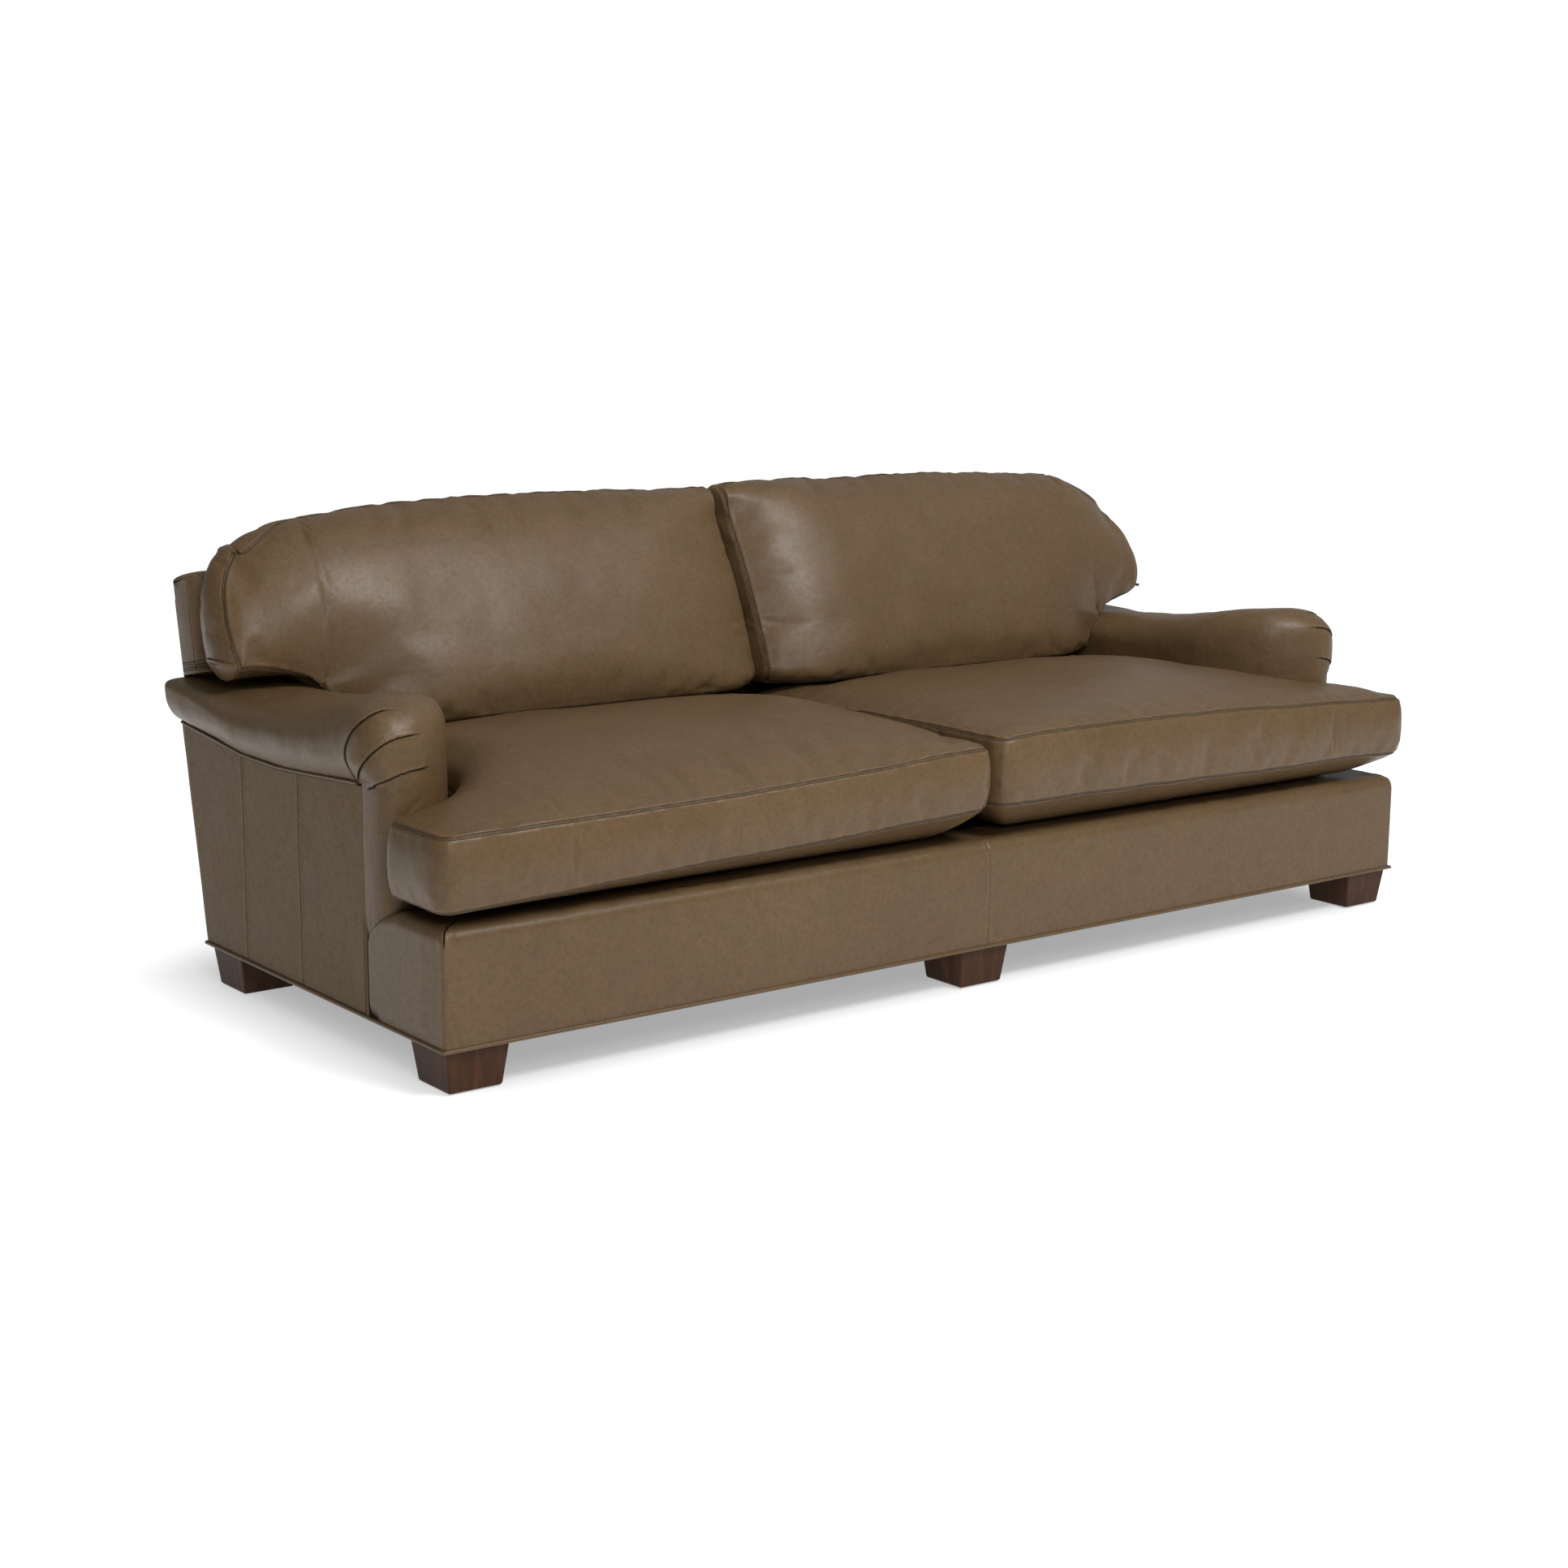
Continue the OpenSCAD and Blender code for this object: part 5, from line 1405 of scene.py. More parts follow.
def seat_cushion(side, sign):
    e = [0.0, 0.005, 0.011, 0.018, 0.027]
    a0, a1, b0, b1, ac, bc = 0.0115, 1.158 if sign > 0 else 1.170, -0.506, 0.320, 0.936, -0.330
    R1 = 0.027
    a = lines((a0 + 0.027, ac - 0.027, 0.0155), (ac, a1 - 0.027, 0.0150), *[a0 + q for q in e], *[ac - q for q in e], *[a1 - q for q in e], ac + 0.010)
    b = lines((b0 + 0.027, bc - 0.027, 0.0150), (bc, b1 - 0.027, 0.0155), *[b0 + q for q in e], *[bc - q for q in e], *[b1 - q for q in e], bc + 0.010)
    G = LGrid(a, b, ac, bc)
    uv = G.uv
    uv = G.round_corner(uv, a1, b0, -0.030, 0.030)
    uv = G.round_corner(uv, a0, b0, 0.034, 0.036)
    uv = G.round_corner(uv, a1, bc, -0.018, -0.018)
    uv = G.round_corner(uv, ac, b1, -0.018, -0.018)
    uv = G.round_corner(uv, a0, b1, 0.018, -0.018)
    # the cut-out follows the curved front of the arm
    src = uv[G.loop]
    dst = src.copy()
    line = arm_clearance(0.0105, 0.0180)
    reach = np.concatenate([[0], np.cumsum(np.linalg.norm(np.diff(line, axis=0), axis=1))])
    s0 = np.interp(0.06, -line[:, 1], reach)
    s1 = np.interp(1.125, line[:, 0], reach)
    side_, rear_ = (G.part == 3) & (src[:, 1] < -0.06), (G.part == 2) & (src[:, 0] < 1.125)
    way = np.where(side_, -0.06 - src[:, 1], (-0.06 - bc) + src[:, 0] - ac)
    way = s0 + (s1 - s0) * way / ((-0.06 - bc) + 1.125 - ac)
    for k in (0, 1):
        dst[:, k] = np.where(side_ | rear_, np.interp(way, reach, line[:, k]), dst[:, k])
    uv = morph(uv, src, dst)
    uv[G.loop] = dst
    x, y = uv[:, 0], uv[:, 1]
    back = np.clip((y + 0.10) / 0.30, 0, 1)
    zs = SEAT_ZS[sign](x) * (1 - back) + 0.450 * back
    d = G.edge_distance(uv)
    crest = SEAT_X(x)
    zt = zs + (crest - zs) * SEAT_Y(y)
    # the sides fall to the seam too
    fall = 1.0
    for parts_, run_ in (([5], 0.150), ([1], 0.105), ([2, 3], 0.060)):
        f_ = np.clip(G.edge_distance(uv, parts_) / run_, 0, 1)
        fall = np.minimum(fall, np.sqrt(np.clip(1 - (1 - f_) ** 2.2, 0, 1)))
    zt = zs + (zt - zs) * (0.0 + 1.0 * fall)
    zt = zt + 0.004 * np.exp(-d / 0.03) * (d > 0.004)
    zb = SEAT_ZB[sign](x) * (1 - back) + 0.330 * back
    k = np.clip(1 - d / 0.085, 0, 1)
    zu = 0.2855 + (zb - 0.2855) * k**1.2
    inset = 0.006 * np.clip(1 - d / 0.03, 0, 1)
    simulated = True
    puff = (1 - np.exp(-d / 0.035)) * (0.010 if simulated else 0.0)
    top = np.stack([x, y, zt - puff], 1)
    bot = np.stack([x, y, zu], 1)
    nrm = G.outward(uv)
    n3 = np.concatenate([nrm, np.zeros((len(nrm), 1))], 1)
    bulge = np.choose(G.part, [0.0135, 0.0125, 0.0085, 0.0075, 0.0095, 0.0095]).astype(float)
    ts = (ZROW[0] - ZROW) / (ZROW[0] - ZROW[-1])
    prof = lambda t: 1 - abs(2 * t - 1) ** 2.6
    rows = grow_rows(G, top, bot, ts, bulge * (0.72 if simulated else 1.0), prof, n3)
    P = lambda q: q * np.array([sign, 1, 1])
    ob = boxed("seat_cushion_" + side, G, P(top), P(bot), [P(r) for r in rows], sign < 0)
    n = len(top)
    if simulated:
        pins = np.zeros(2 * n + len(rows) * len(G.loop))
        pins[G.loop] = 1.0
        pins[G.loop + n] = 1.0
        pins[n : 2 * n] = 1.0
        start = inflate(ob, pins, 3.2, 0.022, frames=16, bending=0.9, shrink=-0.012)
    # where it touches something it is flat
    v = coords(ob)
    q = v * [sign, 1, 1]
    q[:, 0] = np.maximum(q[:, 0], 0.0017)
    q = keep_off(q, arm_clearance(0.0042, 0.0085))
    q[:, 1] = np.clip(q[:, 1], -0.5215, 0.3305)
    q[:, 2] = np.maximum(q[:, 2], 0.2845)
    cap = np.interp(q[:, 1], [0.10, 0.15, 0.34], [0.6, 0.4822, 0.4815])
    q[:, 2] = np.where(q[:, 1] > 0.13, np.minimum(q[:, 2], cap), q[:, 2])
    set_coords(ob, q * [sign, 1, 1])
    top_seam = coords(ob)[np.append(G.loop, G.loop[0])]
    low_seam = coords(ob)[np.append(G.loop, G.loop[0]) + n]
    parts = np.append(G.part, G.part[0])
    subdivide(ob, 1)
    # soft irregular surface, then sewn lines
    v, nn = coords(ob), normals(ob)
    hold = np.clip((v[:, 2] - 0.30) / 0.03, 0, 1)
    soft = 0.0022 * fbm(v, 0.16, 100 + sign, 2) + 0.0008 * noise(v, 0.05, 105 + sign)
    set_coords(ob, v + nn * (soft * hold)[:, None])
    curves = [top_seam, low_seam]
    find = surface_lookup(ob)
    curves = [find(c)[0] for c in curves]
    seam_valley(ob, curves, depth=0.0021, width=0.0030, lip=0.0007, pucker=0.0011, reach=0.022, seed=120 + sign)
    # zipper channel across the rear face
    v = coords(ob)
    q = v * [sign, 1, 1]
    zip_ = (q[:, 1] > 0.318) & (abs(q[:, 2] - 0.374) < 0.0094) & (q[:, 0] > 0.0645) & (q[:, 0] < 0.8855)
    v[:, 1] = np.where(zip_, 0.3225, v[:, 1])
    v[:, 1] = np.where(~zip_ & (q[:, 1] > 0.31), np.clip(v[:, 1], None, 0.3315), v[:, 1])
    v[:, 2] = np.maximum(v[:, 2], 0.2843)
    v[:, 0] = sign * np.maximum(v[:, 0] * sign, 0.0012)
    set_coords(ob, v)
    finish_piece(ob, "seat_cushion_" + side, replaces=("seat_cover_" + side, "seat_core_" + side))
    # topstitching on both sides of the seams
    find = surface_lookup(ob)
    skin = Skin()
    for c, sides_ in ((curves[0], (1, -1)), (curves[1], (1, -1))):
        show = np.isin(parts, [0, 1, 2]) | ((parts == 5) & (c[:, 1] < -0.2))
        run = []
        for p, ok in zip(c, show):
            if ok:
                run.append(p)
            elif run:
                if len(run) > 3:
                    for s_ in sides_:
                        stitch_row(skin, np.array(run), find, 0.0028, s_)
                run = []
        if len(run) > 3:
            for s_ in sides_:
                stitch_row(skin, np.array(run), find, 0.0028, s_)
    st = skin.object("seat_stitching_" + side)
    finish_piece(st, "seat_cushion_" + side, look=THREAD)
    return ob


# Back cushions: a is x, b is measured down from the top
BACK_FRONT = smooth_line([(0.484, 0.1475), (0.496, 0.1465), (0.540, 0.158), (0.610, 0.186), (0.700, 0.226), (0.790, 0.275), (0.848, 0.312), (0.870, 0.332), (0.880, 0.344)])
TOP_Z = {
    1: smooth_line([(0.0, 0.850), (0.016, 0.862), (0.06, 0.871), (0.15, 0.873), (0.30, 0.874), (0.50, 0.874), (0.65, 0.872), (0.80, 0.868), (0.90, 0.862), (0.972, 0.853), (1.027, 0.838), (1.07, 0.818), (1.10, 0.796), (1.13, 0.760)]),
    -1: smooth_line([(0.0, 0.852), (0.016, 0.861), (0.06, 0.864), (0.15, 0.866), (0.30, 0.868), (0.45, 0.868), (0.61, 0.867), (0.79, 0.856), (0.875, 0.848), (0.977, 0.839), (1.046, 0.822), (1.085, 0.800), (1.115, 0.772), (1.13, 0.745)]),
}
SIDE_X = {
    -1: smooth_line([(0.590, 1.136), (0.609, 1.140), (0.640, 1.147), (0.683, 1.149), (0.720, 1.144), (0.745, 1.136), (0.770, 1.122), (0.800, 1.096)]),
    1: smooth_line([(0.590, 1.100), (0.600, 1.116), (0.612, 1.129), (0.628, 1.139), (0.652, 1.147), (0.683, 1.149), (0.720, 1.144), (0.745, 1.136), (0.770, 1.122), (0.800, 1.096)]),
}
EAR_Z = {
    -1: smooth_line([(0.95, 0.540), (0.975, 0.558), (1.000, 0.575), (1.020, 0.587), (1.043, 0.595), (1.075, 0.603), (1.10, 0.606), (1.150, 0.607)]),
    1: smooth_line([(0.95, 0.540), (0.975, 0.558), (1.000, 0.575), (1.020, 0.587), (1.043, 0.595), (1.075, 0.603), (1.10, 0.609), (1.120, 0.616), (1.150, 0.630)]),
}
EAR_X = smooth_line([(0.480, 0.934), (0.500, 0.937), (0.520, 0.943), (0.540, 0.953), (0.560, 0.972), (0.575, 0.99)])
YROW = np.array([0.165, 0.175, 0.195, 0.219, 0.245, 0.2562, 0.2596, 0.268, 0.2764, 0.2798, 0.302, 0.330, 0.352, 0.363])


def back_cushion(side, sign):
    e = [0.0, 0.005, 0.011, 0.018, 0.027]
    a0, a1, ac = 0.016, 1.150, 0.958
    zt_, zc, zb_ = 0.872, 0.600, 0.489
    b1, bc = zt_ - zb_, zt_ - zc
    a = lines((a0 + 0.027, ac - 0.027, 0.0155), (ac, a1 - 0.027, 0.0150), *[a0 + q for q in e], *[ac - q for q in e], *[a1 - q for q in e], ac + 0.010)
    b = lines((0.065, bc - 0.027, 0.0150), (bc, b1 - 0.027, 0.0140), *e, 0.033, 0.040, 0.048, 0.056, *[bc - q for q in e], *[b1 - q for q in e], bc + 0.010)
    G = LGrid(a, b, ac, bc)
    uv = G.uv
    uv = G.round_corner(uv, a1, 0.0, -0.200, 0.215)
    uv = G.round_corner(uv, a0, 0.0, 0.022, 0.022)
    ear = 0.026 if sign < 0 else 0.052
    uv = G.round_corner(uv, a1, bc, -ear, -ear)
    uv = G.round_corner(uv, ac, b1, -0.016, -0.016)
    uv = G.round_corner(uv, a0, b1, 0.016, -0.016)
    xz = np.stack([uv[:, 0], zt_ - uv[:, 1]], 1)
    src = xz[G.loop]
    dst = src.copy()
    part = G.part
    upper = (part == 0) & (src[:, 0] < 1.098)
    dst[upper, 1] = TOP_Z[sign](src[upper, 0])
    outer = ((part == 0) & ~upper) | (part == 1)
    dst[outer, 0] = SIDE_X[sign](src[outer, 1])
    under = part == 2
    dst[under, 1] = EAR_Z[sign](src[under, 0])
    dst[under, 0] += 0.012 * np.clip((1.15 - src[under, 0]) / 0.1, 0, 1) ** 0.5
    wall = part == 3
    dst[wall, 0] = EAR_X(np.minimum(src[wall, 1], 0.575) + 0.0)
    dst[wall, 1] = src[wall, 1] - 0.022 * np.clip((src[wall, 1] - 0.50) / 0.1, 0, 1)
    xz = morph(xz, src, dst)
    xz[G.loop] = dst
    x, z = xz[:, 0], xz[:, 1]
    ds = G.edge_distance(xz, [1, 2, 3, 5])
    d_out = G.edge_distance(xz, [1, 2, 3])
    d_in = G.edge_distance(xz, [5])
    d_low = G.edge_distance(xz, [4])
    d_top = G.edge_distance(xz, [0])
    d = G.edge_distance(xz)
    # how far the sewn edge lies behind the crown
    so = 0.072 * np.clip(1 - d_out / 0.21, 0, 1) ** 2.3
    si = 0.066 * np.clip(1 - d_in / 0.17, 0, 1) ** 2.4
    sh = 0.020 * np.clip(1 - d_low / 0.024, 0, 1) ** 2
    shoulder = 0.020 * np.clip(1 - np.maximum(d_top, 0.03) / 0.12, 0, 1) ** 2 * np.clip((x - 0.80) / 0.3, 0, 1)
    fall = G.relax(G.soften(np.maximum(so, si) + shoulder, xz, 0.034, 0.004, 0.050), 4)
    y = BACK_FRONT(z + 0.0) + fall + sh
    # the front panel rolls over the top and is sewn behind the crest
    rho = np.clip((1.095 - x) / 0.130, 0, 1)
    rho = rho * rho * (3 - 2 * rho)
    roll = 0.056
    ze = TOP_Z[sign](np.clip(x, 0, 1.13))
    y0, z0 = BACK_FRONT(ze - roll) + fall, ze - roll
    lean_ = (BACK_FRONT(z0 + 0.01) - BACK_FRONT(z0 - 0.01)) / 0.02
    y3, z3 = np.maximum(0.397, y0 + 0.05), ze + 0.0180
    reach = 0.46 * np.hypot(y3 - y0, z3 - z0)
    y1, z1 = y0 + reach * lean_ / np.hypot(lean_, 1), z0 + reach / np.hypot(lean_, 1)
    y2, z2 = y3 - reach, z3 + 0.10 * reach
    t_ = np.clip(1 - (ze - z) / roll, 0, 1)
    by = (1 - t_) ** 3 * y0 + 3 * (1 - t_) ** 2 * t_ * y1 + 3 * (1 - t_) * t_**2 * y2 + t_**3 * y3
    bz = (1 - t_) ** 3 * z0 + 3 * (1 - t_) ** 2 * t_ * z1 + 3 * (1 - t_) * t_**2 * z2 + t_**3 * z3
    over = rho * (t_ > 0)
    y, zf = y + (by - y) * over, z + (bz - z) * over
    rear = rear_y(z) - 0.0962
    er = 0.013 * np.clip(1 - d / 0.05, 0, 1) ** 2
    yr = rear - er
    y = np.minimum(y, yr - 0.040)
    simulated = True
    puff = (1 - np.exp(-d / 0.035)) * (0.010 if simulated else 0.0)
    top = np.stack([x, y + puff, zf], 1)
    bot = np.stack([x, yr - (0.004 * (1 - np.exp(-d / 0.03)) if simulated else 0), z + 0.010 * np.clip(1 - d_top / 0.03, 0, 1) * rho], 1)
    nrm = G.outward(uv)
    nrm2 = G.outward(np.stack([x, -z], 1))
    n3 = np.stack([nrm2[:, 0], np.zeros(len(nrm2)), -nrm2[:, 1]], 1)
    bulge = np.choose(part, [0.0215, 0.0165, 0.017, 0.008, 0.0055, 0.0135]).astype(float)
    bulge = np.where(part == 0, bulge * (1 - rho[G.loop]) + 0.0045 * rho[G.loop], bulge)
    # the ear hangs down over the roll at its outer end
    hang = np.clip((x[G.loop] - 1.045) / 0.09, 0, 1) * np.clip((0.650 - z[G.loop]) / 0.04, 0, 1)
    bulge = bulge + (0.020 if sign < 0 else -0.006) * hang * (part > 0)
    for _ in range(6):
        bulge = 0.5 * bulge + 0.25 * (np.roll(bulge, 1) + np.roll(bulge, -1))
    ts = (YROW - YROW[0]) / (YROW[-1] - YROW[0])
    flat = lambda t: 1 - abs(2 * t - 1) ** 2.2
    rows = grow_rows(G, top, bot, ts, bulge * (0.75 if simulated else 1.0), flat, n3)
    P = lambda q: q * np.array([sign, 1, 1])
    ob = boxed("back_cushion_" + side, G, P(top), P(bot), [P(r) for r in rows], sign > 0)
    n = len(top)
    if simulated:
        pins = np.zeros(2 * n + len(rows) * len(G.loop))
        sewn = np.where(part == 0, 0.7, 1.0)
        pins[G.loop] = sewn
        pins[G.loop + n] = 1.0
        inflate(ob, pins, 3.2, 0.022, frames=16, bending=0.9, shrink=-0.012)
    v = coords(ob)
    q = v * [sign, 1, 1]
    q[:, 0] = np.clip(q[:, 0], 0.0017, 1.1745)
    q[:, 2] = np.maximum(q[:, 2], 0.4843)
    q[:, 1] = np.minimum(q[:, 1], rear_y(q[:, 2]) - 0.0945)
    # stays off the arm
    below = (q[:, 2] < 0.60)
    lim = np.where(q[:, 2] < 0.520, 0.9445, 0.9445 + 0.11 * np.clip((q[:, 2] - 0.520) / 0.058, 0, 1) ** 1.6)
    q[:, 0] = np.where(below & (q[:, 2] < 0.578), np.minimum(q[:, 0], lim), q[:, 0])
    floor_ = np.interp(q[:, 0], [1.0, 1.09, 1.13, 1.155, 1.175], [0.5835, 0.5830, 0.5790, 0.5735, 0.5680])
    q[:, 2] = np.where((q[:, 0] > 1.0), np.maximum(q[:, 2], floor_), q[:, 2])
    set_coords(ob, q * [sign, 1, 1])
    loop2 = np.append(G.loop, G.loop[0])
    front_seam, rear_seam = coords(ob)[loop2], coords(ob)[loop2 + n]
    parts = np.append(part, part[0])
    subdivide(ob, 1)
    v, nn = coords(ob), normals(ob)
    hold = np.clip((v[:, 2] - 0.487) / 0.03, 0, 1)
    soft = 0.0026 * fbm(v, 0.17, 200 + sign, 2) + 0.0009 * noise(v, 0.055, 205 + sign)
    lump = 0.0013 * noise(v * [1, 0.3, 0.3], 0.12, 208 + sign) * np.clip((v[:, 2] - 0.84) / 0.03, 0, 1)
    set_coords(ob, v + nn * (soft * hold + lump)[:, None])
    find = surface_lookup(ob)
    # the front seam runs right round, over the shoulder and behind the crest of the top
    runs = [find(front_seam)[0]]
    seam_valley(ob, runs, depth=0.0021, width=0.0030, lip=0.0007, pucker=0.0014, reach=0.024, seed=220 + sign)
    rs = find(rear_seam)[0]
    seam_valley(ob, [rs], depth=0.0018, width=0.0030, lip=0.0005, pucker=0.0008, reach=0.02, seed=230 + sign)
    v = coords(ob)
    q = v * [sign, 1, 1]
    zip_ = (q[:, 2] < 0.497) & (abs(q[:, 1] - 0.268) < 0.0094) & (q[:, 0] > 0.0645) & (q[:, 0] < 0.8755)
    v[:, 2] = np.where(zip_, 0.4915, np.maximum(v[:, 2], 0.4838))
    v[:, 0] = sign * np.clip(v[:, 0] * sign, 0.0012, 1.1755)
    v[:, 1] = np.minimum(v[:, 1], rear_y(v[:, 2]) - 0.0935)
    set_coords(ob, v)
    finish_piece(ob, "back_cushion_" + side, replaces=("back_cover_" + side, "back_core_" + side))
    find = surface_lookup(ob)
    skin = Skin()
    for r in runs:
        for s_ in (1, -1):
            stitch_row(skin, r, find, 0.0028, s_)
    st = skin.object("back_stitching_" + side)
    finish_piece(st, "back_cushion_" + side, look=THREAD)
    return ob




# ---------------------------------------------------------------- seat deck, under the loose cushions
def tee(name, a1, ac, b0, bc, b1, top, bottom, crown=0.0):
    """Closed T-shaped slab: the ears lie in front of the arms, the main part runs back between them."""
    e = (0.0, 0.003, 0.008, 0.016)
    x = lines((0, ac - 0.02, 0.03), (ac, a1 - 0.02, 0.02), *[ac - q for q in e], *[a1 - q for q in e])
    y = lines((b0 + 0.02, bc - 0.02, 0.02), (bc, b1 - 0.02, 0.03), *[b0 + q for q in e], *[bc - q for q in e], *[b1 - q for q in e])
    G = LGrid(x, y, ac, bc)
    # the slab fills the space up to the curved front of the arm
    src = G.uv[G.loop]
    dst = src.copy()
    line = arm_clearance(-0.003, -0.003)
    reach = np.concatenate([[0], np.cumsum(np.linalg.norm(np.diff(line, axis=0), axis=1))])
    s0, s1 = np.interp(0.06, -line[:, 1], reach), np.interp(a1 - 0.015, line[:, 0], reach)
    side_, rear_ = (G.part == 3) & (src[:, 1] < -0.06), (G.part == 2) & (src[:, 0] < a1 - 0.015)
    way = np.where(side_, -0.06 - src[:, 1], (-0.06 - bc) + src[:, 0] - ac)
    way = s0 + (s1 - s0) * way / ((-0.06 - bc) + a1 - 0.015 - ac)
    for k in (0, 1):
        dst[:, k] = np.where(side_ | rear_, np.interp(way, reach, line[:, k]), dst[:, k])
    uv = morph(G.uv, src, dst)
    uv[G.loop] = dst
    G.uv = uv
    around = dst[:, 0] * np.roll(dst[:, 1], -1) - np.roll(dst[:, 0], -1) * dst[:, 1]
    area = abs(float(around.sum()))
    d = G.edge_distance(G.uv, [0, 1, 2, 3, 4])
    drop = (top - bottom) * 0.35 * np.clip(1 - d / 0.006, 0, 1) ** 2
    ripple = 0.0009 * noise(np.concatenate([G.uv, np.zeros((len(G.uv), 1))], 1), 0.14, 61) * np.clip(d / 0.05, 0, 1)
    up = top - drop + ripple + crown * np.clip(d / 0.2, 0, 1)
    hi = np.concatenate([G.uv, up[:, None]], 1)
    lo = np.concatenate([G.uv, np.full((len(G.uv), 1), bottom)], 1)
    n = len(hi)
    f = [tuple(c) for c in G.cells] + [tuple(i + n for i in c[::-1]) for c in G.cells]
    for k in range(len(G.loop)):
        if G.part[k] == 5:
            continue
        k2 = (k + 1) % len(G.loop)
        f.append((G.loop[k], G.loop[k] + n, G.loop[k2] + n, G.loop[k2]))
    v = np.concatenate([hi, lo])
    skin = Skin()
    skin.add(v, f)
    skin.add(v * [-1, 1, 1], [q[::-1] for q in f])
    return skin.object(name, weld=1e-5), area


pad, _ = tee("deck_padding", 1.098, 0.9440, -0.372, -0.309, 0.330, 0.2757, 0.2602)
finish_piece(pad, "frame", slot="foam", replaces=("deck_pad",))
cloth, cloth_area = tee("deck_cloth_top", 1.100, 0.9450, -0.372, -0.3095, 0.330, 0.2778, 0.2761)
finish_piece(cloth, "frame", slot="black_cambric", replaces=("deck_cloth",))
print("deck cloth area", round(cloth_area, 4))


for side, sign in SIDES:
    seat_cushion(side, sign)
for side, sign in SIDES:
    back_cushion(side, sign)


# ---------------------------------------------------------------- camera, light and floor
def camera_axes(az, el, roll):
    b = np.array([math.sin(az) * math.cos(el), -math.cos(az) * math.cos(el), math.sin(el)])
    fwd = -b
    right = np.cross(fwd, [0, 0, 1.0])
    right /= np.linalg.norm(right)
    up = np.cross(right, fwd)
    c, s = math.cos(roll), math.sin(roll)
    return c * right + s * up, -s * right + c * up, fwd


r_, u_, f_ = camera_axes(math.radians(-37.67), math.radians(10.76), math.radians(0.45))
cam_data = bpy.data.cameras.new("camera")
cam_data.sensor_width = 36.0
cam_data.sensor_fit = "HORIZONTAL"
cam_data.lens = 3077.0 / 1932.0 * 36.0
cam_data.clip_start, cam_data.clip_end = 0.05, 60.0
camera = bpy.data.objects.new("camera", cam_data)
m = Matrix.Identity(4)
for i in range(3):
    m[i][0], m[i][1], m[i][2] = r_[i], u_[i], -f_[i]
m[0][3], m[1][3], m[2][3] = -3.075, -3.844, 1.247
camera.matrix_world = m
bpy.context.scene.collection.objects.link(camera)
bpy.context.scene.camera = camera


def softbox(name, place, target, size, power, color=(1, 1, 1), spread=180):
    light = bpy.data.lights.new(name, "AREA")
    light.shape = "RECTANGLE"
    light.size, light.size_y = size
    light.energy = power
    light.color = color
    light.spread = math.radians(spread)
    ob = bpy.data.objects.new(name, light)
    d = Vector(target) - Vector(place)
    ob.rotation_euler = d.to_track_quat("-Z", "Y").to_euler()
    ob.location = place
    bpy.context.scene.collection.objects.link(ob)
    return ob


softbox("key", (0.2, -3.4, 4.0), (0.1, 0.0, 0.6), (1.6, 1.2), 172)
softbox("side", (-2.5, -4.2, 2.6), (-0.9, -0.3, 0.5), (1.2, 1.2), 72)
softbox("right", (1.5, -2.4, 3.8), (1.0, 0.0, 0.7), (1.3, 1.3), 32)
softbox("top", (0.4, -0.8, 3.8), (0.2, 0.0, 0.3), (4.2, 2.6), 34)

world = bpy.data.worlds.new("studio")
bpy.context.scene.world = world
world.use_nodes = True
wt = world.node_tree
bg = wt.nodes["Background"]
bg.inputs[0].default_value = (1.0, 1.0, 1.0, 1)
# the room is darker on the left of the sofa than on the right
room = wt.nodes.new("ShaderNodeTexCoord")
room_xyz = wt.nodes.new("ShaderNodeSeparateXYZ")
room_fall = wt.nodes.new("ShaderNodeMapRange")
for key, value in (("From Min", -1.0), ("From Max", 1.0), ("To Min", 0.19), ("To Max", 0.42)):
    room_fall.inputs[key].default_value = value
wt.links.new(room.outputs["Generated"], room_xyz.inputs[0])
wt.links.new(room_xyz.outputs[0], room_fall.inputs["Value"])
wt.links.new(room_fall.outputs[0], bg.inputs[1])
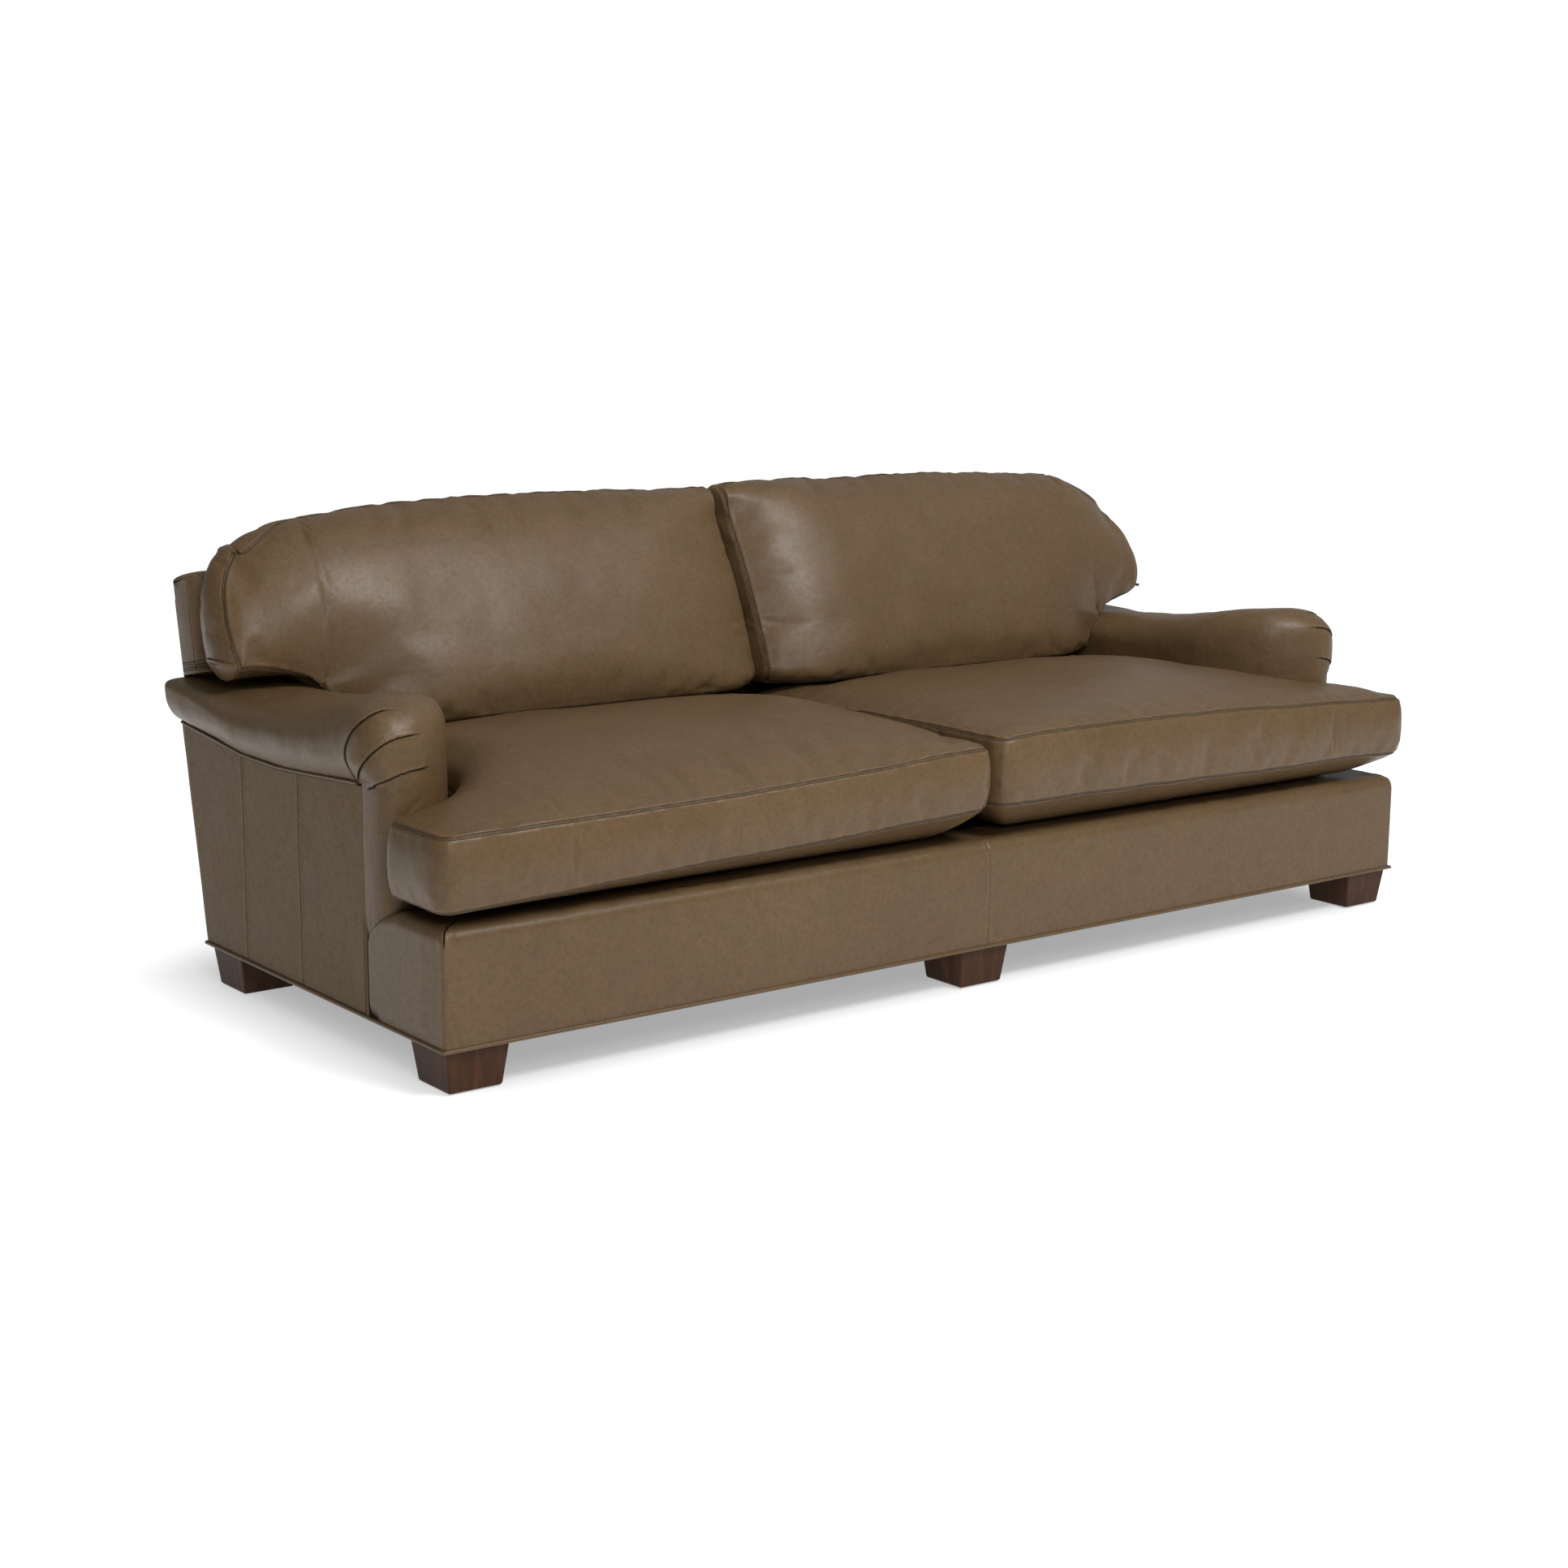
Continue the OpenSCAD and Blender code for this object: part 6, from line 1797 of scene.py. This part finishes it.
# the backdrop itself stays white where it is looked at directly
paper = wt.nodes.new("ShaderNodeBackground")
paper.inputs[0].default_value = (1.0, 1.0, 1.0, 1)
paper.inputs[1].default_value = 1.0
seen = wt.nodes.new("ShaderNodeLightPath")
both_bg = wt.nodes.new("ShaderNodeMixShader")
wt.links.new(seen.outputs["Is Camera Ray"], both_bg.inputs[0])
wt.links.new(bg.outputs[0], both_bg.inputs[1])
wt.links.new(paper.outputs[0], both_bg.inputs[2])
wt.links.new(both_bg.outputs[0], wt.nodes["World Output"].inputs[0])


def studio_floor():
    """A pale flat floor: a round disc, 16 m in radius, round the sofa."""
    a = np.linspace(0, 2 * np.pi, 97)[:-1]
    rings = [0.0005, 0.6, 1.2, 2.0, 3.0, 4.5, 6.5, 9.0, 12.0, 16.0]
    skin = Skin()
    P = np.array([[(r * math.cos(t), r * math.sin(t) - 0.1, -0.0003) for t in a] for r in rings])
    skin.grid(P.transpose(1, 0, 2), wrap=True, flip=True)
    ob = skin.object("studio_floor", weld=1e-3)
    t = Tree("studio_floor")
    s = t.noise(1.3, 3, 0.5)
    t.set(base_color=t.mix(t.value(s, 0.0, 1.0, 0.3, 0.7), (0.47, 0.47, 0.47), (0.49, 0.49, 0.49)), roughness=t.value(s, 0.75, 0.85), specular=0.0)
    # painted light: the floor emits a little light of its own, more farther out than round the sofa, which paints a
    # soft shadow round the sofa
    away = t.node("ShaderNodeVectorMath", operation="ABSOLUTE")
    t.link(t.coord, away.inputs[0])
    past = t.node("ShaderNodeVectorMath", operation="SUBTRACT")
    t.link(away.outputs[0], past.inputs[0])
    past.inputs[1].default_value = (1.02, 0.40, 0.0)
    clear = t.node("ShaderNodeVectorMath", operation="MAXIMUM")
    t.link(past.outputs[0], clear.inputs[0])
    clear.inputs[1].default_value = (0.0, 0.0, 0.0)
    far = t.node("ShaderNodeVectorMath", operation="LENGTH")
    t.link(clear.outputs[0], far.inputs[0])
    painted_glow = t.node("ShaderNodeMapRange", interpolation_type="SMOOTHSTEP")
    for key, value in (("From Min", 0.0), ("From Max", 0.34), ("To Min", 0.38), ("To Max", 0.88)):
        painted_glow.inputs[key].default_value = value
    t.link(far.outputs["Value"], painted_glow.inputs["Value"])
    t.set(emission_color=(1.0, 1.0, 1.0), emission_strength=painted_glow.outputs[0])
    ob.data.materials.append(t.mat)
    return ob


floor = studio_floor()
view = bpy.context.scene.view_settings
view.view_transform = "Standard"
view.look = "None"
view.exposure = 0.0
view.gamma = 1.0
